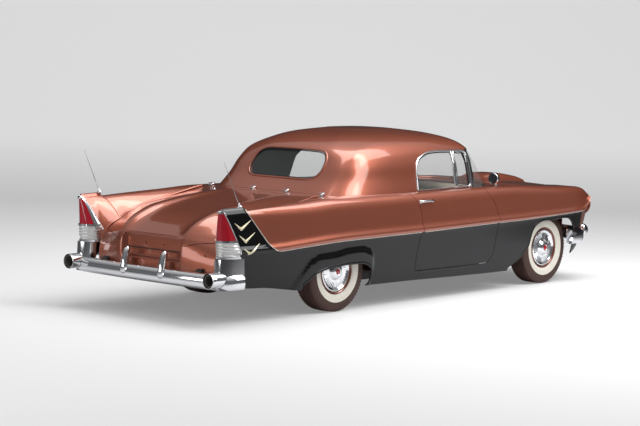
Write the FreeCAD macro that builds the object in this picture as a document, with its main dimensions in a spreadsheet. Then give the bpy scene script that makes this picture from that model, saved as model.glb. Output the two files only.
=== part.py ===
import FreeCAD, Part

import math
import os
import re

from FreeCAD import Vector

# A two-door hardtop of the 1950s. X points to the car's right, Y forward and Z up. The origin lies on
# the ground, midway between the exhaust tips and the front bumper's bullets. Lengths are millimetres.

doc = FreeCAD.newDocument("ClassicCar")
sheet = doc.addObject("Spreadsheet::Sheet", "Sizes")

SIZES = {
    # The whole car
    "wheelbase": 3099,
    "rear_overhang": 1572,
    "front_overhang": 800,
    "half_width": 985,
    "belt_height": 1000,
    "roof_rise": 540,
    "cut_overrun": 40,
    "seat_gap": 0.3,
    "running_gap": 5,
    "shaft_gap": 0.5,
    # Body panels
    "skin": 12,
    "panel_gap": 5,
    "lid_thickness": 22,
    "door_depth": 225,
    "door_taper": 60,
    "seal_width": 12,
    "stop_width": 36,
    "roof_wall": 34,
    "glass_thickness": 6,
    "frame_depth": 16,
    "window_frame_width": 22,
    "floor_sheet": 12,
    "floor_height": 296,
    "rear_floor_height": 556,
    # Tyres, wheels and hubcaps
    "tyre_radius": 355,
    "tyre_width": 200,
    "rim_radius": 196,
    "rim_width": 160,
    "rim_sheet": 9,
    "hubcap_radius": 182,
    "hubcap_rise": 46,
    "hub_radius": 72,
    "drum_radius": 150,
    "rear_wheel_inset": 215,
    "front_wheel_inset": 233,
    # Steering knuckles and suspension
    "kingpin_inset": 285,
    "kingpin_radius": 20,
    "kingpin_height": 250,
    "spindle_radius": 26,
    "arm_thickness": 28,
    "arm_width": 70,
    "axle_tube_radius": 38,
    "differential_radius": 125,
    "spring_width": 60,
    "spring_thickness": 22,
    "shaft_radius": 36,
    # Chassis frame
    "rail_width": 62,
    "rail_height": 88,
    "rail_bottom": 208,
    "kick_rise": 255,
    "crossmember_width": 90,
    # Engine and exhaust
    "engine_length": 640,
    "engine_width": 420,
    "engine_height": 520,
    "gearbox_length": 620,
    "gearbox_width": 240,
    "gearbox_height": 200,
    "pipe_radius": 25,
    "pipe_height": 255,
    "arched_pipe_height": 455,
    "tail_pipe_height": 360,
    "tip_height": 394,
    "muffler_radius": 44,
    "muffler_length": 560,
    "muffler_height": 251.7,
    "tip_radius": 65,
    "tip_length": 235,
    "tip_wall": 5,
    "tank_length": 440,
    "tank_width": 680,
    "tank_height": 150,
    # Bumpers
    "bumper_height": 100,
    "bumper_wall": 30,
    "rear_bumper_bottom": 330,
    "front_bumper_bottom": 380,
    "guard_width": 56,
    "guard_height": 206,
    "guard_depth": 60,
    "bullet_radius": 68,
    "bullet_length": 206,
    # Lamps, grille and small bright parts
    "headlamp_radius": 96,
    "headlamp_rim": 16,
    "headlamp_depth": 40,
    "lamp_frame_depth": 26,
    "lamp_frame_width": 16,
    "grille_height": 230,
    "grille_depth": 60,
    "grille_bar": 14,
    "spotlight_radius": 57,
    "spotlight_depth": 80,
    "spotlight_stem": 9,
    "antenna_radius": 2.5,
    "antenna_length": 420,
    "antenna_lean": 27,
    "handle_length": 210,
    "handle_rise": 34,
    "handle_thickness": 20,
    # Cabin
    "seat_side_gap": 80,
    "rear_seat_gap": 18.825,
    "cushion_height": 150,
    "cushion_length": 500,
    "backrest_thickness": 150,
    "steering_wheel_radius": 215,
    "steering_rim_radius": 11,
    "column_radius": 22,
    "dash_height": 230,
    "dash_depth": 190,
}

for row, (alias, value) in enumerate(SIZES.items(), start=1):
    sheet.set(f"A{row}", alias)
    sheet.set(f"B{row}", str(value))
    sheet.setAlias(f"B{row}", alias)
doc.recompute()


class Sheet:
    """Reads a size from the sheet by its name."""

    def __getattr__(self, alias):
        return float(sheet.get(alias))


size = Sheet()

LENGTH = "(rear_overhang + wheelbase + front_overhang)"
REAR_AXLE = f"(rear_overhang - {LENGTH} / 2)"
FRONT_AXLE = f"({REAR_AXLE} + wheelbase)"
rear_axle = (size.rear_overhang - size.wheelbase - size.front_overhang) / 2
front_axle = rear_axle + size.wheelbase


def across(share):
    """A place to the right, as a share of the half width."""
    return share * size.half_width


def along(share):
    """A place forward, as a share of the wheelbase from the rear axle."""
    return rear_axle + share * size.wheelbase


def above(share):
    """A height over the ground, as a share of the belt's height."""
    return share * size.belt_height


def bound(kind, name, sizes, place=(0, 0, 0)):
    """A primitive whose sizes and place are bound to the sheet by expressions of its aliases."""
    item = doc.addObject(kind, name)
    pattern = re.compile(r"[a-z][a-z_]+")
    paths = [f".Placement.Base.{axis}" for axis in "xyz"]
    for path, text in list(sizes.items()) + list(zip(paths, place)):
        item.setExpression(path, pattern.sub(lambda word: f"Sizes.{word.group()}", str(text)))
    return item


def box(name, length, width, height, x, y, z):
    return bound("Part::Box", name, {"Length": length, "Width": width, "Height": height}, (x, y, z))


def cylinder(name, radius, height, x, y, z, axis=(0, 0, 1)):
    item = bound("Part::Cylinder", name, {"Radius": radius, "Height": height}, (x, y, z))
    item.Placement.Rotation = FreeCAD.Rotation(Vector(0, 0, 1), Vector(*axis))
    return item


def fused(name, items):
    item = doc.addObject("Part::MultiFuse", name)
    item.Shapes = items
    return item


def cut(name, base, tool):
    item = doc.addObject("Part::Cut", name)
    item.Base = base
    item.Tool = tool
    return item


def formed(name, shape):
    """A sub-part whose surface is lofted or revolved in code from the sheet's sizes."""
    item = doc.addObject("Part::Feature", name)
    item.Shape = shape
    return item


def mirrored(name, source):
    """The left-hand piece of a pair."""
    item = doc.addObject("Part::Mirroring", name)
    item.Source = source
    item.Normal = Vector(1, 0, 0)
    return item


sub_parts = []


def keep(item, label):
    item.Label = label
    sub_parts.append(item)
    return item


def keep_pair(item, label):
    """Keeps a right-hand piece and its mirror image."""
    keep(item, f"{label}_right")
    keep(mirrored(f"{label}_left_mirror", item), f"{label}_left")


def flipped(shape):
    """The mirror image of a shape on the car's other side."""
    return shape.mirror(Vector(0, 0, 0), Vector(1, 0, 0))


def both_sides(shape):
    return Part.makeCompound([shape, flipped(shape)])


def polygon(points):
    return Part.makePolygon(points + points[:1])


def prism(points, direction):
    return Part.Face(polygon(points)).extrude(direction)


def smooth_between(rows, place):
    """Reads a table of (place, value...) rows with a cubic curve through its rows."""
    last = len(rows) - 1
    place = min(max(place, rows[0][0]), rows[last][0])
    index = max(k for k in range(last) if k == 0 or rows[k][0] <= place)
    low, high = rows[index], rows[index + 1]
    before = rows[max(index - 1, 0)]
    after = rows[min(index + 2, last)]
    span = high[0] - low[0]
    t = (place - low[0]) / span
    result = []
    for column in range(1, len(low)):
        rise = high[column] - low[column]
        rise_before = low[column] - before[column]
        rise_after = after[column] - high[column]
        slope_low = slope_high = 0.0
        if rise * rise_before > 0:
            slope_low = (high[column] - before[column]) / (high[0] - before[0]) * span
        if rise * rise_after > 0:
            slope_high = (after[column] - low[column]) / (after[0] - low[0]) * span
        result.append(
            low[column] * (2 * t ** 3 - 3 * t ** 2 + 1)
            + slope_low * (t ** 3 - 2 * t ** 2 + t)
            + high[column] * (3 * t ** 2 - 2 * t ** 3)
            + slope_high * (t ** 3 - t ** 2))
    return result


# Body sides. Each row is a station from the rear axle as a share of the wheelbase, then the crest's
# height, the bead's height and the sill's height as shares of the belt, and the half width's share.
side_shares = (
    (-0.461, 0.955, 0.600, 0.480, 0.939),
    (-0.420, 0.955, 0.598, 0.330, 0.949),
    (-0.368, 0.956, 0.595, 0.295, 0.964),
    (-0.287, 0.965, 0.595, 0.270, 0.980),
    (-0.161, 0.980, 0.612, 0.233, 0.995),
    (-0.030, 0.9995, 0.630, 0.217, 1.000),
    (0.161, 0.9995, 0.638, 0.205, 1.000),
    (0.323, 0.9995, 0.643, 0.200, 1.000),
    (0.516, 0.9995, 0.654, 0.188, 1.000),
    (0.697, 0.9995, 0.664, 0.180, 1.000),
    (0.839, 0.992, 0.670, 0.177, 1.000),
    (1.000, 0.966, 0.684, 0.200, 1.000),
    (1.110, 0.950, 0.695, 0.250, 0.990),
    (1.168, 0.935, 0.700, 0.330, 0.975),
    (1.204, 0.915, 0.700, 0.450, 0.955),
)
# Down the side: the inset from the widest line as a share of the half width, and the height between
# bead and crest, then between sill and bead.
upper_side_shares = ((0.135, 1.0), (0.112, 0.985), (0.078, 0.925), (0.050, 0.77),
                     (0.032, 0.45), (0.020, 0.22), (0.003, 0.115), (0.0, 0.07), (0.006, 0.02))
lower_side_shares = ((0.030, 0.965), (0.040, 0.83), (0.062, 0.45), (0.080, 0.23), (0.105, 0.0))
# The line where the deck or the hood meets the fender: station, distance out and height.
inner_edge_shares = (
    (-0.461, 0.735, 0.470),
    (-0.428, 0.733, 0.590),
    (-0.394, 0.732, 0.706),
    (-0.356, 0.731, 0.762),
    (-0.326, 0.731, 0.813),
    (-0.280, 0.730, 0.860),
    (-0.200, 0.730, 0.905),
    (-0.110, 0.730, 0.955),
    (-0.030, 0.730, 0.9995),
    (0.161, 0.730, 0.9995),
)


def side_points(share, first_points):
    """Points of the outer surface at one station, from its top inner edge down to the sill."""
    crest, bead, sill, width = smooth_between(side_shares, share)
    points = list(first_points)
    for inset, rise in upper_side_shares:
        points.append((across(width - inset), above(bead + rise * (crest - bead))))
    for inset, rise in lower_side_shares:
        points.append((across(width - inset), above(sill + rise * (bead - sill))))
    return points


def offset_inward(points, distance):
    """The same line moved inward, square to itself, by a distance."""
    moved = []
    for k, (x, z) in enumerate(points):
        xa, za = points[max(k - 1, 0)]
        xb, zb = points[min(k + 1, len(points) - 1)]
        run = math.hypot(xb - xa, zb - za)
        moved.append((x - distance * (za - zb) / run, z - distance * (xb - xa) / run))
    return moved


def skin_section(y, outer, thickness):
    """A closed section of a panel: the outer line, the inner line and two short ends."""
    inner = offset_inward(outer, thickness)
    return polygon([Vector(x, y, z) for x, z in outer + inner[::-1]])


# Two stations of a loft lie at least this share of the wheelbase apart.
station_gap_share = 0.012


def stations(low, high, table):
    """The table's stations between two places, with the places themselves."""
    between = [row[0] for row in table if low + station_gap_share < row[0] < high - station_gap_share]
    return [low] + between + [high]


# The top of a rear fin leans out from the deck's edge. The top of a front fender runs flat from the hood.
fin_lean_shares = (0.008, 0.022)
fender_top_shares = (0.636, 0.74)


def rear_start(share):
    width, height = smooth_between(inner_edge_shares, share)
    crest = smooth_between(side_shares, share)[0]
    half_way, top = fin_lean_shares
    return [(across(width), above(height)), (across(width + half_way), above((height + crest) / 2)),
            (across(width + top), above(crest))]


def front_start(share):
    crest = smooth_between(side_shares, share)[0]
    return [(across(share_out), above(crest)) for share_out in fender_top_shares]


def panel(low, high, start):
    """A side panel between two stations, lofted through its sections."""
    wires = [skin_section(along(s), side_points(s, start(s)), size.skin)
             for s in stations(low, high, side_shares)]
    return Part.makeLoft(wires, True, True)


# The door's outline seen from the side: stations as shares of the wheelbase, heights as shares of
# the belt's height.
door_shares = (
    (0.300, 1.03), (0.303, 0.995), (0.317, 0.938), (0.327, 0.887), (0.335, 0.816), (0.337, 0.677),
    (0.328, 0.495), (0.324, 0.371), (0.329, 0.307), (0.341, 0.288), (0.655, 0.286), (0.681, 0.305),
    (0.698, 0.368), (0.699, 0.418), (0.705, 0.682), (0.698, 0.756), (0.691, 0.830), (0.676, 0.898),
    (0.658, 0.955), (0.652, 1.03))
door_rear_count = 10


def grown_ring(ring, grow):
    """A closed ring in a plane square to X, moved outward side by side by a margin."""
    sides = [(b - a).normalize() for a, b in zip(ring, ring[1:] + ring[:1])]
    outward = [Vector(0, side.z, -side.y) for side in sides]
    return [p + (outward[k - 1] + outward[k]) * (grow / (1 + outward[k - 1].dot(outward[k])))
            for k, p in enumerate(ring)]


def door_outline(x, grow):
    """The door's outline at one distance out, its rear edge tapered forward towards the cabin."""
    lean = size.door_taper * (size.half_width - x) / size.door_depth
    ring = [Vector(x, along(share) + (lean if k < door_rear_count else 0), above(height))
            for k, (share, height) in enumerate(door_shares)]
    return polygon(grown_ring(ring, grow))


def door_prism(inner_x, grow):
    outer_x = size.half_width + size.cut_overrun
    return Part.makeLoft([door_outline(inner_x, grow), door_outline(outer_x, grow)], True, True)


door_inner_x = size.half_width - size.door_depth
door_hole = door_prism(door_inner_x - size.cut_overrun, size.panel_gap)

# Wheel openings seen from the side, as shares of the tyre's radius from the hub's foot.
rear_arch_shares = ((-1.40, 0.0), (-1.353, 0.76), (-1.169, 0.89), (-0.955, 1.025), (-0.627, 1.11),
                    (-0.124, 1.155), (0.387, 1.175), (0.732, 1.16), (0.994, 1.062), (1.119, 0.90),
                    (1.141, 0.726), (0.955, 0.59), (0.90, 0.0))
front_arch_shares = ((-1.9, 0.0), (-1.845, 0.571), (-1.28, 0.859), (-1.006, 1.206), (-0.895, 1.585),
                     (-0.579, 1.78), (-0.051, 1.80), (0.627, 1.822), (0.943, 1.692), (1.107, 1.466),
                     (1.175, 1.28), (1.22, 0.9), (1.26, 0.0))


def arch_prism(axle_y, shares):
    x = size.half_width - size.rear_wheel_inset - size.tyre_width
    points = [Vector(x, axle_y + a * size.tyre_radius, b * size.tyre_radius) for a, b in shares]
    return prism(points, Vector(size.half_width + size.cut_overrun - x, 0, 0))


# The tail lamps' slanting plane: its place at the lamps' top, and how far it goes forward further down
lamp_top_share = 0.962
lamp_top_place_share = -0.4705
lamp_slant_share = 0.1514


def lamp_plane(height):
    """The place of the tail lamps' slanting plane at a height that is a share of the belt's."""
    return along(lamp_top_place_share + (lamp_top_share - height) * lamp_slant_share)


# Rear quarters, from the tail lamps to the doors. Their fins end in the lamps' plane.
tail_share = side_shares[0][0]
quarter_front_share = 0.345
fin_cut_shares = (1.1, 0.3)
behind_car_share = -0.6
bumper_corner_share = -0.405
bumper_corner_top_share = 0.5345
quarter_shape = panel(tail_share, quarter_front_share, rear_start)
fin_end = [Vector(0, lamp_plane(height), above(height)) for height in fin_cut_shares]
fin_end += [Vector(0, along(behind_car_share), p.z) for p in fin_end[::-1]]
quarter_shape = quarter_shape.cut(prism(fin_end, Vector(size.half_width, 0, 0)))
quarter_shape = quarter_shape.cut(arch_prism(rear_axle, rear_arch_shares)).cut(door_hole)
notch = Part.makeBox(size.half_width, size.wheelbase, above(bumper_corner_top_share))
notch.translate(Vector(0, along(bumper_corner_share) - size.wheelbase, 0))
quarter_shape = quarter_shape.cut(notch)
keep_pair(formed("QuarterRight", quarter_shape), "quarter")

# Front fenders, from the doors to the headlamps
fender_rear_share = 0.645
nose_notch_share = 1.160
nose_notch_top_share = 0.560
fender_shape = panel(fender_rear_share, side_shares[-1][0], front_start)
fender_shape = fender_shape.cut(arch_prism(front_axle, front_arch_shares)).cut(door_hole)
nose_notch = Part.makeBox(size.half_width, size.wheelbase, above(nose_notch_top_share))
nose_notch.translate(Vector(0, along(nose_notch_share), 0))
fender_shape = fender_shape.cut(nose_notch)
keep_pair(formed("FenderRight", fender_shape), "fender")

# Doors: slabs as thick as the whole door, with a tapered rear edge that swings clear
slab_shares = (0.28, 0.73)
door_top_share = 0.9945


def slab_section(share, inner_x):
    """The door's section at one station, from the outer surface to a flat inner face."""
    outer = side_points(share, [])
    y = along(share)
    outer = outer + [(inner_x, outer[-1][1]), (inner_x, outer[0][1])]
    return polygon([Vector(x, y, z) for x, z in outer])


def slab(inner_x):
    return Part.makeLoft([slab_section(s, inner_x) for s in stations(*slab_shares, side_shares)],
                         True, True)


door_slab = slab(door_inner_x)
door_shape = door_slab.common(door_prism(door_inner_x - size.cut_overrun, 0))
over_door = Part.makeBox(size.half_width, 2 * size.wheelbase, size.belt_height)
over_door.translate(Vector(0, -size.wheelbase, above(door_top_share)))
door_shape = door_shape.cut(over_door)
keep_pair(formed("DoorRight", door_shape), "door")

# Sills under the doors, each with the rubber strip that the door closes on
sill_shares = (0.3451, 0.6449)
sill_top_share = 0.2795
strip_foot_share = 0.27
door_foot_share = min(height for share, height in door_shares)
sill_inner_x = door_inner_x - size.running_gap
sill_length = along(sill_shares[1]) - along(sill_shares[0])
sill_block = Part.makeBox(size.half_width, sill_length, above(sill_top_share))
sill_block.translate(Vector(sill_inner_x, along(sill_shares[0]), 0))
sill_right = slab(sill_inner_x).common(sill_block)
strip = Part.makeBox(size.seal_width, sill_length - 4 * size.seal_width,
                     above(door_foot_share - strip_foot_share) - size.seat_gap)
strip.translate(Vector(sill_inner_x + 2 * size.seal_width, along(sill_shares[0]) + 2 * size.seal_width,
                       above(strip_foot_share)))
sill_right = sill_right.fuse(strip)
keep(formed("Sills", both_sides(sill_right)), "sills")

# Deck lid: station, then the centre's, the ridge's and the edge's height as shares of the belt
deck_shares = (
    (-0.447, 0.672, 0.690, 0.560), (-0.426, 0.742, 0.760, 0.610), (-0.394, 0.800, 0.815, 0.706),
    (-0.368, 0.832, 0.845, 0.752), (-0.323, 0.885, 0.900, 0.813), (-0.245, 0.910, 0.921, 0.872),
    (-0.161, 0.950, 0.960, 0.918), (-0.081, 0.982, 0.990, 0.965), (-0.0305, 0.995, 0.999, 0.992))
lid_width_share = 0.7245
lid_foot_share = 0.640
ridge_share = 0.391
# Between centre and ridge the lid dips, and between ridge and edge it falls a little early.
ridge_foot_place_share = 0.5
ridge_foot_rise_share = 0.35
ridge_side_share = 0.45


def deck_section(share):
    centre, ridge, edge = smooth_between(deck_shares, share)
    side = ridge_side_share * ridge + (1 - ridge_side_share) * edge
    half = [(0, centre),
            (ridge_foot_place_share * ridge_share, centre + ridge_foot_rise_share * (ridge - centre)),
            (ridge_share, ridge), ((ridge_share + lid_width_share) / 2, side), (lid_width_share, edge)]
    line = [(-x, z) for x, z in half[:0:-1]] + half
    top = [Vector(across(x), along(share), above(z)) for x, z in line]
    low = [Vector(p.x, p.y, p.z - size.lid_thickness) for p in top]
    return polygon(top + low[::-1])


deck_lid_shape = Part.makeLoft([deck_section(row[0]) for row in deck_shares], True, True)
below_lid = Part.makeBox(2 * size.half_width, size.wheelbase, above(lid_foot_share))
below_lid.translate(Vector(-size.half_width, -size.wheelbase, 0))
deck_lid_shape = deck_lid_shape.cut(below_lid)
keep(formed("DeckLid", deck_lid_shape), "deck_lid")


def rest_stops(lid, share, out, foot):
    """Two rubber stops on a panel's upper edge, shaped to the underside of the lid over them."""
    blocks = []
    for side in (-1, 1):
        block = Part.makeBox(size.stop_width, size.skin, size.belt_height - foot)
        block.translate(Vector(side * across(out) - size.stop_width / 2, along(share), foot))
        seat = lid.copy()
        seat.translate(Vector(0, 0, -size.seat_gap))
        blocks.append(min(block.cut(seat).Solids, key=lambda solid: solid.CenterOfMass.z))
    return blocks


# Shelf between the deck lid and the rear seat, under the foot of the roof
shelf = box("Shelf", "1.459 * half_width - 2 * seat_gap", "0.086 * wheelbase", "skin",
            "seat_gap - 0.7295 * half_width", f"{REAR_AXLE} - 0.0288 * wheelbase",
            "0.9995 * belt_height - skin")
keep(shelf, "rear_shelf")

# Tail panel under the deck lid, with two rubber stops
tail_panel_share = -0.4425
tail_stop_share = 0.26
tail_stop_foot_share = 0.635
tail = box("TailPanel", "1.46 * half_width - 2 * seat_gap", "skin", "0.157 * belt_height",
           "seat_gap - 0.73 * half_width", f"{REAR_AXLE} + {tail_panel_share} * wheelbase",
           "0.478 * belt_height")
tail_stops = rest_stops(deck_lid_shape, tail_panel_share, tail_stop_share, above(tail_stop_foot_share))
keep(fused("TailPanelWithStops", [tail] + [formed(f"TailStop{k}", stop)
                                           for k, stop in enumerate(tail_stops)]), "tail_panel")

# Hood: station, then the centre's and the edge's height
hood_shares = (
    (0.8745, 0.992, 0.984), (0.940, 0.995, 0.975), (1.000, 0.990, 0.964), (1.060, 0.975, 0.956),
    (1.110, 0.956, 0.944), (1.160, 0.926, 0.918), (1.195, 0.895, 0.885), (1.213, 0.860, 0.850))
hood_width_share = 0.630
scoop_shares = ((0.962, 0.985), (0.985, 1.018), (1.010, 1.042), (1.064, 1.042), (1.147, 1.011),
                (1.190, 0.965))
scoop_width_share = 0.17
# Points across the crown, from edge to edge
crown_shares = (-1, -0.66, -0.33, 0, 0.33, 0.66, 1)


def crowned_section(share, centre, edge, width, thickness):
    """A sheet's section at one station, highest in the middle."""
    line = [(x, edge + (centre - edge) * (1 - x * x)) for x in crown_shares]
    top = [Vector(across(x * width), along(share), above(z)) for x, z in line]
    low = [Vector(p.x, p.y, p.z - thickness) for p in top]
    return polygon(top + low[::-1])


hood_skin = Part.makeLoft([crowned_section(*row, hood_width_share, size.lid_thickness)
                           for row in hood_shares], True, True)


# The scoop's shoulders: how far out they are, and how far they have fallen
scoop_crown_shares = (0.55, 0.006)
scoop_shoulder_shares = (0.85, 0.3)


def scoop_section(share, top):
    """The scoop's section at one station, its foot in the middle of the hood's sheet."""
    base = smooth_between(hood_shares, share)[0] - size.lid_thickness / 2 / size.belt_height
    crown, crown_fall = scoop_crown_shares
    shoulder, shoulder_fall = scoop_shoulder_shares
    half = [(0, top), (crown, top - crown_fall), (shoulder, top - shoulder_fall * (top - base)),
            (1, base)]
    line = [(-x, z) for x, z in half[:0:-1]] + half
    return polygon([Vector(across(x * scoop_width_share), along(share), above(z)) for x, z in line])


scoop = Part.makeLoft([scoop_section(*row) for row in scoop_shares], True, True)
hood_shape = hood_skin.fuse(scoop)
keep(formed("Hood", hood_shape), "hood")

# Cowl between the hood and the windshield
cowl_shares = ((0.690, 0.9995), (0.845, 0.9995), (0.8725, 0.990))
cowl_width_share = 0.6355
cowl_points = [Vector(-across(cowl_width_share), along(a), above(b)) for a, b in cowl_shares]
cowl_points += [p - Vector(0, 0, size.skin) for p in cowl_points[::-1]]
keep(formed("Cowl", prism(cowl_points, Vector(2 * across(cowl_width_share), 0, 0))), "cowl")

# Nose panel round the grille, with two rubber stops for the hood
nose_stop_shares = (1.193, 0.36)
nose_stop_foot_share = 0.840
nose = box("NoseSheet", "1.27 * half_width - 2 * seat_gap", "skin", "0.3618 * belt_height",
           "seat_gap - 0.635 * half_width", f"{REAR_AXLE} + 1.193 * wheelbase", "0.4782 * belt_height")
mouth = box("NoseMouth", "1.06 * half_width", "skin + 2 * cut_overrun", "grille_height",
            "-0.53 * half_width", f"{REAR_AXLE} + 1.193 * wheelbase - cut_overrun",
            "0.57 * belt_height")
nose_stops = rest_stops(hood_shape, *nose_stop_shares, above(nose_stop_foot_share))
keep(fused("NosePanelWithStops", [cut("NosePanel", nose, mouth)]
           + [formed(f"NoseStop{k}", stop) for k, stop in enumerate(nose_stops)]), "nose_panel")
grille_items = []
for k in range(4):
    grille_items.append(box(
        f"GrilleBar{k}", "1.06 * half_width - 2 * seat_gap", "grille_depth", "grille_bar",
        "seat_gap - 0.53 * half_width", f"{REAR_AXLE} + 1.193 * wheelbase - grille_depth / 2",
        f"0.57 * belt_height + seat_gap + {k} * (grille_height - grille_bar - 2 * seat_gap) / 3"))
for k in range(11):
    grille_items.append(box(
        f"GrilleTooth{k}", "grille_bar", "grille_depth / 2", "grille_height - 2 * seat_gap",
        f"seat_gap - 0.53 * half_width + {k} * (1.06 * half_width - grille_bar - 2 * seat_gap) / 10",
        f"{REAR_AXLE} + 1.193 * wheelbase - grille_depth / 4", "0.57 * belt_height + seat_gap"))
keep(fused("Grille", grille_items), "grille")

# Greenhouse: half outlines seen from above at rising levels, as stations from the rear axle in
# shares of the wheelbase and widths in shares of the half width, from the rear round to the front.
greenhouse_shares = (
    (-0.030, ((0, .019), (.416, .016), (.69, .0), (.835, -.004), (.862, .004), (.865, .097),
              (.855, .29), (.828, .484), (.802, .636), (.787, .694), (.711, .739), (.609, .771),
              (.406, .816), (.203, .845), (0, .855))),
    (0.0, ((0, .019), (.416, .016), (.69, .0), (.835, -.004), (.862, .004), (.865, .097),
           (.855, .29), (.828, .484), (.802, .636), (.787, .694), (.711, .739), (.609, .771),
           (.406, .816), (.203, .845), (0, .855))),
    (0.222, ((0, .060), (.406, .056), (.65, .045), (.785, .042), (.814, .055), (.827, .129),
             (.822, .29), (.802, .484), (.777, .636), (.756, .678), (.69, .72), (.589, .749),
             (.386, .791), (.203, .816), (0, .826))),
    (0.463, ((0, .09), (.386, .089), (.589, .087), (.711, .090), (.756, .11), (.777, .161),
             (.782, .29), (.772, .484), (.746, .632), (.721, .665), (.65, .70), (.548, .726),
             (.365, .762), (.203, .784), (0, .794))),
    (0.667, ((0, .113), (.345, .116), (.508, .124), (.629, .139), (.685, .161), (.711, .21),
             (.726, .307), (.726, .484), (.70, .623), (.675, .649), (.609, .678), (.508, .703),
             (.345, .733), (.183, .75), (0, .758))),
    (0.815, ((0, .152), (.305, .158), (.447, .171), (.548, .194), (.609, .226), (.64, .274),
             (.655, .355), (.65, .484), (.609, .587), (.579, .613), (.508, .642), (.426, .662),
             (.284, .687), (.152, .703), (0, .71))),
    (0.926, ((0, .213), (.254, .219), (.365, .236), (.437, .258), (.477, .29), (.497, .323),
             (.508, .371), (.497, .452), (.457, .516), (.426, .542), (.376, .565), (.305, .584),
             (.203, .60), (.102, .61), (0, .613))),
    (1.0, ((0, .307), (.152, .313), (.203, .323), (.234, .336), (.254, .349), (.264, .361),
           (.264, .387), (.259, .419), (.239, .452), (.223, .461), (.193, .471), (.152, .478),
           (.102, .482), (.051, .484), (0, .484))))
# How far each level's outline moves inward and down for a shell of unit thickness
level_inset_shares = ((1.0, 0.0), (1.0, 0.0), (1.0, 0.0), (1.0, 0.05), (1.0, 0.35), (0.7, 0.75),
                      (0.35, 0.95), (0.1, 1.0))


def greenhouse(depth):
    """The solid under the greenhouse's surface, or under one that lies a depth inside it."""
    wires = []
    for (rise, half), (inset, drop) in zip(greenhouse_shares, level_inset_shares):
        z = size.belt_height + rise * size.roof_rise - drop * depth
        ring = [(across(x), along(y)) for x, y in half]
        ring += [(-x, y) for x, y in ring[-2:0:-1]]
        widest = max(x for x, y in ring)
        rear, front = min(y for x, y in ring), max(y for x, y in ring)
        middle, reach = (rear + front) / 2, (front - rear) / 2
        points = [Vector(x * (1 - inset * depth / widest),
                         middle + (y - middle) * (1 - inset * depth / reach), z) for x, y in ring]
        wires.append(polygon(points))
    return Part.makeLoft(wires, True, True)


def greenhouse_shell(outer_depth, inner_depth, bottom):
    """The greenhouse's wall between two depths, cut level at its foot."""
    shell = greenhouse(outer_depth).cut(greenhouse(inner_depth))
    lower = Part.makeBox(2 * size.half_width, 2 * size.wheelbase, bottom)
    lower.translate(Vector(-size.half_width, -size.wheelbase, 0))
    return shell.cut(lower)


# The door window seen from the side, and the middle from which a margin grows it
window_shares = ((0.360, 0.90), (0.361, 1.02), (0.363, 1.06), (0.372, 1.22), (0.384, 1.27),
                 (0.3985, 1.301), (0.437, 1.338), (0.484, 1.35), (0.555, 1.347), (0.6205, 1.341),
                 (0.6345, 1.246), (0.6357, 1.128), (0.6347, 0.90))
window_middle_share = 0.5
window_shoulder_share = 1.2
window_cut_shares = (0.4, 1.0)


def side_outline(grow):
    """The door window seen from the side, grown outward by a margin."""
    points = []
    for share, height in window_shares:
        sideways = grow if share > window_middle_share else -grow
        upward = grow if height > window_shoulder_share else 0
        points.append(Vector(0, along(share) + sideways, above(height) + upward))
    return points


def window_prism(grow):
    start, end = (across(share) for share in window_cut_shares)
    return prism([p + Vector(start, 0, 0) for p in side_outline(grow)], Vector(end - start, 0, 0))


base_height = size.belt_height + size.seat_gap
roof_shell = greenhouse_shell(0, size.roof_wall, base_height)
window_hole = window_prism(size.window_frame_width + size.running_gap)
header_share = 0.632
header_top_share = 1.352
front_block = Part.makeBox(2 * size.half_width, size.wheelbase, above(header_top_share))
front_block.translate(Vector(-size.half_width, along(header_share), 0))
# The rear window seen from behind: distance out and height
rear_window_middle_share = 1.24
rear_window_cut_shares = (-0.06, 0.22)
rear_window_shares = ((0, 1.118), (0.37, 1.118), (0.42, 1.135), (0.445, 1.185), (0.447, 1.24),
                      (0.43, 1.30), (0.385, 1.348), (0.33, 1.362), (0, 1.366))


def rear_window_prism(grow):
    """A block through the rear window, grown outward by a margin."""
    points = []
    for x, z in rear_window_shares:
        upward = grow if z > rear_window_middle_share else -grow
        points.append((across(x) + (grow if x else 0), above(z) + upward))
    ring = points + [(-x, z) for x, z in points[-2:0:-1]]
    start, end = (along(share) for share in rear_window_cut_shares)
    return prism([Vector(x, start, z) for x, z in ring], Vector(0, end - start, 0))


roof_shape = roof_shell.cut(window_hole).cut(flipped(window_hole))
roof_shape = roof_shape.cut(front_block).cut(rear_window_prism(0))
keep(formed("Roof", roof_shape), "roof")

glass_shell = greenhouse_shell(size.glass_thickness, 2 * size.glass_thickness,
                               above(door_top_share) + size.seat_gap)
rear_glass = glass_shell.common(rear_window_prism(-size.seat_gap))
keep(formed("RearWindow", rear_glass), "rear_window")

# Windshield with its frame: header, base and pillars
frame_shell = greenhouse_shell(0, size.frame_depth, base_height)
pillar_share = 0.6465
shield_top_share = 1.350
opening_height_share = 0.325
slim_share = 0.6
shield_block = Part.makeBox(2 * size.half_width, size.wheelbase, above(shield_top_share) - size.seat_gap)
shield_block.translate(Vector(-size.half_width, along(pillar_share), 0))
shield_opening = Part.makeBox(2 * size.half_width, size.wheelbase, above(opening_height_share))
shield_opening.translate(Vector(-size.half_width, along(pillar_share) + size.window_frame_width,
                                base_height + size.window_frame_width * slim_share))
shield_frame = frame_shell.common(shield_block)
keep(formed("WindshieldFrame", shield_frame.cut(shield_opening)), "windshield_frame")
shield_room = Part.makeBox(2 * size.half_width, size.wheelbase,
                           above(opening_height_share) - 2 * size.seat_gap)
shield_room.translate(Vector(-size.half_width,
                             along(pillar_share) + size.window_frame_width + size.seat_gap,
                             base_height + size.window_frame_width * slim_share + size.seat_gap))
keep(formed("Windshield", glass_shell.common(shield_room)), "windshield")

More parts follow.
